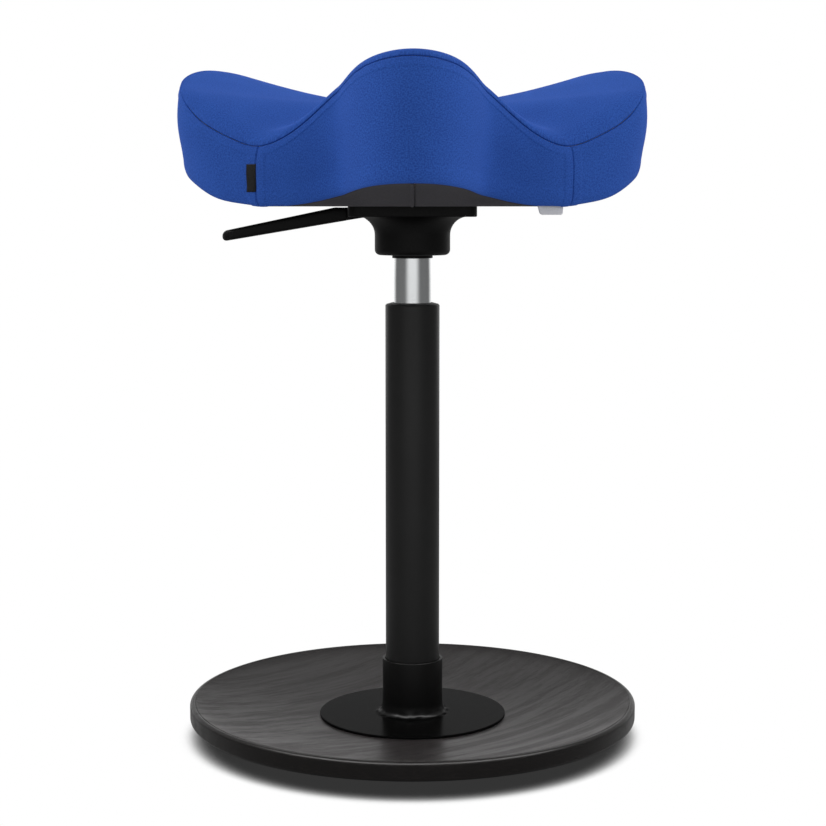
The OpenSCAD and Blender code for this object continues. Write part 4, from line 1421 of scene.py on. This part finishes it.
# %% Fit the grip ring
soft_edge = 0.6 * mm
inner, outer = grip_r - grip_w, grip_r
profile = (arc((inner + soft_edge, soft_edge), soft_edge, 180, 270, 4)
           + arc((outer - soft_edge, soft_edge), soft_edge, 270, 360, 4)
           + [(outer, grip_high.z), (inner, grip_high.z)])
finish_piece("rubber_grip_ring", turned(profile, 160, ring=True), "black_rubber", "base",
             ["grip_ring"])

# %% [markdown]
# The flange is pressed steel with a socket welded to it. The weld is ground but not quite even,
# which shows as a wavering highlight round the socket's foot, so the fillet's points are moved
# in and out by a little noise after the spin.

# %% Turn the flange
flange_low, flange_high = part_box("base_flange")
tube_low, tube_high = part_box("outer_tube")
tube_r = tube_high.x
flange_r = flange_high.x
flange_t = 2.4 * mm
flange_top = flange_low.z + flange_t
flange_edge = 0.8 * mm
flange_hole_r = tube_r - 4 * mm
close_fit = 0.05 * mm
bore_r = tube_r + close_fit
socket_wall = 3.6 * mm
socket_r = bore_r + socket_wall
flare_r = 36 * mm
fillet_r = 7 * mm
fillet_to = 195
flare_x, flare_z = arc((socket_r + flare_r, fillet_r), flare_r - fillet_r, fillet_to, fillet_to, 1)[0]
flare_z = flange_top + 2 * fillet_r - flare_z
mouth_round = 0.7 * mm
mouth_chamfer = 1.2 * mm
weld_uneven = 0.8 * mm
weld_wave = 9 * mm
weld_up = (9 * mm, 4 * mm)
weld_out = (flare_x + 1 * mm, flare_x - 1 * mm)
skin = 0.1 * mm
ring_gap = 1.2 * mm

profile = [(flange_hole_r, flange_low.z), (flange_r, flange_low.z)]
profile += arc((flange_r - flange_edge, flange_top - flange_edge), flange_edge, 0, 90, 4)
profile += [(flange_r - flange_edge - ring_gap, flange_top), (flare_x + ring_gap, flange_top)]
profile += arc((flare_x, flange_top + fillet_r), fillet_r, 270, fillet_to, 18)
profile += arc((socket_r + flare_r, flare_z), flare_r, fillet_to, 180, 10)[1:]
profile += arc((socket_r - mouth_round, flange_high.z - mouth_round), mouth_round, 0, 90, 4)
profile += [(bore_r + mouth_chamfer, flange_high.z), (bore_r, flange_high.z - mouth_chamfer),
            (bore_r, flange_top), (flange_hole_r, flange_top)]
bm = turned(profile, steps=256, ring=True)
for vert in bm.verts:
    r = vert.co.xy.length
    up = vert.co.z - flange_top
    in_fillet = smooth_step(*weld_up, up) * smooth_step(*weld_out, r)
    if up > 0 and r > socket_r - skin and in_fillet > 0:
        by = weld_uneven * in_fillet * noise.noise(vert.co / weld_wave)
        vert.co.xy = vert.co.xy * (1 + by / r)
        vert.co.z += by
finish_piece("socket_flange", bm, "smooth_black_coat", "base", ["base_flange"])

# %% [markdown]
# The column is a plain steel tube, powder coated. Its mouth has a broken edge, and inside it has a
# floor that carries the thrust bearing.

# %% Turn the tube
tube_wall = 2.5 * mm
tube_bore = tube_r - tube_wall
floor_up = 3.5 * mm
floor_low = tube_low.z + floor_up
floor_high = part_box("bearing_lower_washer")[0].z
rod_hole = 6 * mm
tube_edge = 1.0 * mm
profile = [(tube_bore, tube_low.z), (tube_r, tube_low.z), (tube_r, tube_high.z - tube_edge)]
profile += arc((tube_r - tube_edge, tube_high.z - tube_edge), tube_edge, 15, 75, 4)
profile += [(tube_r - tube_edge, tube_high.z), (tube_bore, tube_high.z), (tube_bore, floor_high),
            (rod_hole, floor_high), (rod_hole, floor_low), (tube_bore, floor_low)]
finish_piece("column_tube", turned(profile, 192, ring=True), "black_powder_coat", "base",
             ["outer_tube"])

# %% [markdown]
# The nylon bush closes the tube's mouth and guides the chromed cylinder. Its lip rises in a low
# cone, and a fine dark line shows where the cylinder passes through it.

# %% Turn the bush
bush_low, bush_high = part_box("guide_bush")
cylinder_low, cylinder_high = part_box("gas_cylinder")
cylinder_r = cylinder_high.x
lip_r = tube_r - tube_edge
lip_side = 0.3 * mm
lip_round = 0.4 * mm
lip_flat = 2.5 * mm
bush_bore = cylinder_r + close_fit
bush_out = tube_bore - close_fit
lip_chamfer = 0.6 * mm
profile = [(bush_bore, bush_low.z), (bush_out, bush_low.z), (bush_out, tube_high.z),
           (lip_r, tube_high.z)]
profile += arc((lip_r - lip_round, tube_high.z + lip_side), lip_round, 0, 70, 3)
profile += [(cylinder_r + lip_flat, bush_high.z), (bush_bore + lip_chamfer, bush_high.z),
            (bush_bore, bush_high.z - lip_chamfer)]
finish_piece("mouth_bush", turned(profile, 160, ring=True), "black_nylon", "base",
             ["guide_bush"])

# %% [markdown]
# The cylinder of the gas spring is ground and chromed. It tapers at the top, where it wedges into
# the bracket, and that is all that holds the seat.

# %% Turn the cylinder
taper_l = 62 * mm
taper_start = cylinder_high.z - taper_l
tip_r = 19.3 * mm
valve_r = 8 * mm
valve_l = 37 * mm
head_low = cylinder_high.z - valve_l
cylinder_wall = 2.2 * mm
cylinder_bore = cylinder_r - cylinder_wall
lip_bore = 9 * mm
lip_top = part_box("rod_guide")[0].z
foot_round = 1.2 * mm
profile = [(lip_bore, cylinder_low.z), (cylinder_r - foot_round, cylinder_low.z)]
profile += arc((cylinder_r - foot_round, cylinder_low.z + foot_round), foot_round, 285, 360, 5)
profile += [(cylinder_r, taper_start), (tip_r, cylinder_high.z), (valve_r, cylinder_high.z),
            (valve_r, head_low), (cylinder_bore, head_low), (cylinder_bore, lip_top),
            (lip_bore, lip_top)]
finish_piece("chromed_cylinder", turned(profile, 192, ring=True), "chromed_steel", "seat",
             ["gas_cylinder"])

# %% [markdown]
# The bracket is one casting: a square plate bolted under the seat and a deep cup that takes the
# cylinder's taper. The plate is a box whose corners and edges are bevelled. The cup is spun and
# joined to it, and the slot for the lever and the recesses for the bolts are cut out.

# %% Measure the bracket
bracket_low, bracket_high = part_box("seat_bracket")
plate_half = bracket_high.x
plate_t = 11 * mm
plate_z = bracket_high.z - plate_t
plate_corner = 12 * mm
plate_edge = 1.4 * mm
cup_r = 41.5 * mm
cup_z = plate_z - 42 * mm
cup_fillet = 20 * mm
cup_round = 6 * mm
cup_in_plate = 2 * mm
cup_lip_r = cylinder_r + 1.8 * mm
cup_lip_round = 0.6 * mm
bore_top_r = 12 * mm
bore_top_gap = 0.2 * mm
pivot_x = 56 * mm
pivot_z = bracket_high.z - 4.4 * mm
slot_half = 9 * mm
slot_z = pivot_z - 4.3 * mm
slot_end = 12 * mm
open_to = 51 * mm
lever_drop = 4.2 * mm
lever_room = 38 * mm
bolt_half = 55 * mm
bolt_recess_r = 7.9 * mm
bolt_recess_z = plate_z + 4.6 * mm
bolt_hole_r = 4.5 * mm
on_face = 1e-6
print("the bracket's plate is", round(2000 * plate_half), "mm wide")

# %% Shape the plate and the cup
plate = box_between((-plate_half, -plate_half, plate_z), (plate_half, plate_half, bracket_high.z))
upright = [e for e in plate.edges if abs(e.verts[0].co.z - e.verts[1].co.z) > plate_t / 2]
bmesh.ops.bevel(plate, geom=upright, offset=plate_corner, segments=10, profile=0.5,
                affect="EDGES", material=-1)
level = [e for e in plate.edges if abs(e.verts[0].co.z - e.verts[1].co.z) < on_face
         and e.verts[0].co.z < plate_z + on_face]
bmesh.ops.bevel(plate, geom=level, offset=plate_edge, segments=3, profile=0.5,
                affect="EDGES", material=-1)

profile = [(0, bracket_low.z), (cup_lip_r - cup_lip_round, bracket_low.z)]
profile += arc((cup_lip_r - cup_lip_round, bracket_low.z + cup_lip_round), cup_lip_round, 290, 360, 3)
profile += [(cup_lip_r, cup_z)]
profile += arc((cup_r - cup_round, cup_z + cup_round), cup_round, 270, 360, 12)
profile += arc((cup_r + cup_fillet, plate_z - cup_fillet), cup_fillet, 180, 90, 18)
profile += [(cup_r + cup_fillet, plate_z + cup_in_plate), (0, plate_z + cup_in_plate)]
cup = turned(profile, steps=128)
print("plate", len(plate.faces), "faces, cup", len(cup.faces), "faces")

# %% Cut the bore, the slot and the bolt holes
taper_slope = (cylinder_r - tip_r) / (cylinder_high.z - taper_start)
mouth_r = cylinder_r - taper_slope * (bracket_low.z - past - taper_start) + close_fit
bore = turned([(0, bracket_low.z - past), (mouth_r, bracket_low.z - past),
               (tip_r + close_fit, cylinder_high.z), (bore_top_r, cylinder_high.z + bore_top_gap),
               (bore_top_r, slot_z + past), (0, slot_z + past)], steps=96)


def slot_between(low_x, low_z, high_x, high_z):
    return box_between((low_x, -slot_half, low_z), (high_x, slot_half, high_z))


cutters = [
    bore,
    slot_between(-plate_half - past, slot_z, slot_end, bracket_high.z + past),
    slot_between(-lever_room, slot_z - lever_drop, slot_end, slot_z + past),
    slot_between(-plate_half - past, plate_z - 3 * past, -open_to, slot_z + past),
]
for x in (-bolt_half, bolt_half):
    for y in (-bolt_half, bolt_half):
        cutters.append(rod_between(x, y, plate_z - past, bracket_high.z + past, bolt_hole_r, 32))
        cutters.append(rod_between(x, y, plate_z - past, bolt_recess_z, bolt_recess_r, 48))
joined = carve(plate, [cup], "UNION")
finish_piece("cast_bracket", carve(joined, cutters), "black_cast_metal", "seat",
             ["seat_bracket"])

# %% [markdown]
# The handle is a long flat paddle of black plastic that droops and thins towards its tip. A
# grid wrapped round a rounded rectangle makes it: one direction goes round the section, the
# other along the handle, and both ends close in a point that is merged. Its root goes on into the
# bracket's slot and under the plate as a wedge, so a bevelled outline is joined to it.

# %% Measure the handle
handle_low, handle_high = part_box("lever_handle")
handle_root = handle_high.x
handle_tip = handle_low.x
handle_line = seat_z + 1.8 * mm
handle_fall = 0.2096
lift_gap = 0.1 * mm
root_t, tip_t = 17.05 * mm, 11.4 * mm
lever_joint = next(j for j in frame["record"]["behaviour"]["joints"] if j["name"] == "lever_lift")
lift_limit = math.radians(lever_joint["range_deg"][1])
root_w, tip_w = 20 * mm, 26 * mm
root_round = 1.0 * mm
section_power = 4.6
handle_run = handle_root - handle_tip
cap_share = 0.03
round_share = 0.12
cap_fill = 0.93


def handle_under(along):
    """The underside's height, at a distance along from the root."""
    return handle_line - root_t - along * (handle_fall - (root_t - tip_t) / handle_run)


def handle_over(along):
    """The upper side's height. Near the root it keeps clear of the seat when the lever lifts."""
    reach = -pivot_x - handle_root + along
    underside = seat_z + under_h(math.pi / 2, along - handle_root)
    clear = underside - lift_gap - reach * math.tan(lift_limit)
    return min(handle_line - along * handle_fall, clear)


print("the handle is", round(1000 * handle_run), "mm long")

# %% Wrap the handle's grid
def handle_place(s, t):
    turn = math.tau * s
    shrink = 1.0
    if t < cap_share:
        along, shrink = 0.0, t / cap_share * cap_fill
    elif t < round_share:
        q = (t - cap_share) / (round_share - cap_share) * math.pi / 2
        along, shrink = root_round * (1 - math.cos(q)), cap_fill + (1 - cap_fill) * math.sin(q)
    else:
        q = (t - round_share) / (1 - round_share)
        along = root_round + (handle_run - root_round) * math.sin(math.pi / 2 * q)
    thick = handle_over(along) - handle_under(along)
    wide = root_w + (tip_w - root_w) * along / handle_run
    left = handle_run - along
    if left < wide / 2:
        wide *= math.sqrt(max(0.0, 1 - (1 - 2 * left / wide) ** 2))
    if left < thick / 2:
        thick *= math.sqrt(max(0.0, 1 - (1 - 2 * left / thick) ** 2))
    across = math.copysign(abs(math.cos(turn)) ** (2 / section_power), math.cos(turn))
    up = math.copysign(abs(math.sin(turn)) ** (2 / section_power), math.sin(turn))
    middle_z = (handle_over(along) + handle_under(along)) / 2
    point = (handle_root - along, across * wide / 2 * shrink, middle_z + up * thick / 2 * shrink)
    return Vector(point), (s, t)


bm = bent_grid(56, 96, handle_place, None, close=True)
print("the grid has", len(bm.faces), "faces")

# %% Join the wedge
side_play = 0.7 * mm
wedge_half = slot_half - side_play
wedge_into = 6 * mm
wedge_start = handle_root - wedge_into
wedge_end = -open_to - 1.2 * mm
wedge_skin = 0.2 * mm
wedge_edge = 0.35 * mm
slot_gap = 0.6 * mm
before_pivot = 7 * mm
in_slot = plate_z + 2.2 * mm
wedge_line = [(wedge_start, handle_under(wedge_into) + wedge_skin),
              (wedge_end, handle_under(handle_root - wedge_end)), (wedge_end, in_slot),
              (slot_gap - pivot_x - before_pivot, in_slot),
              (-plate_half - slot_gap, handle_over(handle_root + plate_half + slot_gap)),
              (wedge_start, handle_over(wedge_into) - wedge_skin)]
wedge = bmesh.new()
corners = [wedge.verts.new((x, -wedge_half, z)) for x, z in wedge_line]
side = wedge.faces.new(corners)
moved = bmesh.ops.extrude_face_region(wedge, geom=[side])["geom"]
bmesh.ops.translate(wedge, verts=[v for v in moved if isinstance(v, bmesh.types.BMVert)],
                    vec=(0, 2 * wedge_half, 0))
bmesh.ops.recalc_face_normals(wedge, faces=wedge.faces)
bmesh.ops.bevel(wedge, geom=wedge.edges[:], offset=wedge_edge, segments=2, profile=0.5,
                affect="EDGES", material=-1)
finish_piece("lever_grip", carve(bm, [wedge], "UNION"), "handle_plastic", "lever",
             ["lever_handle"])
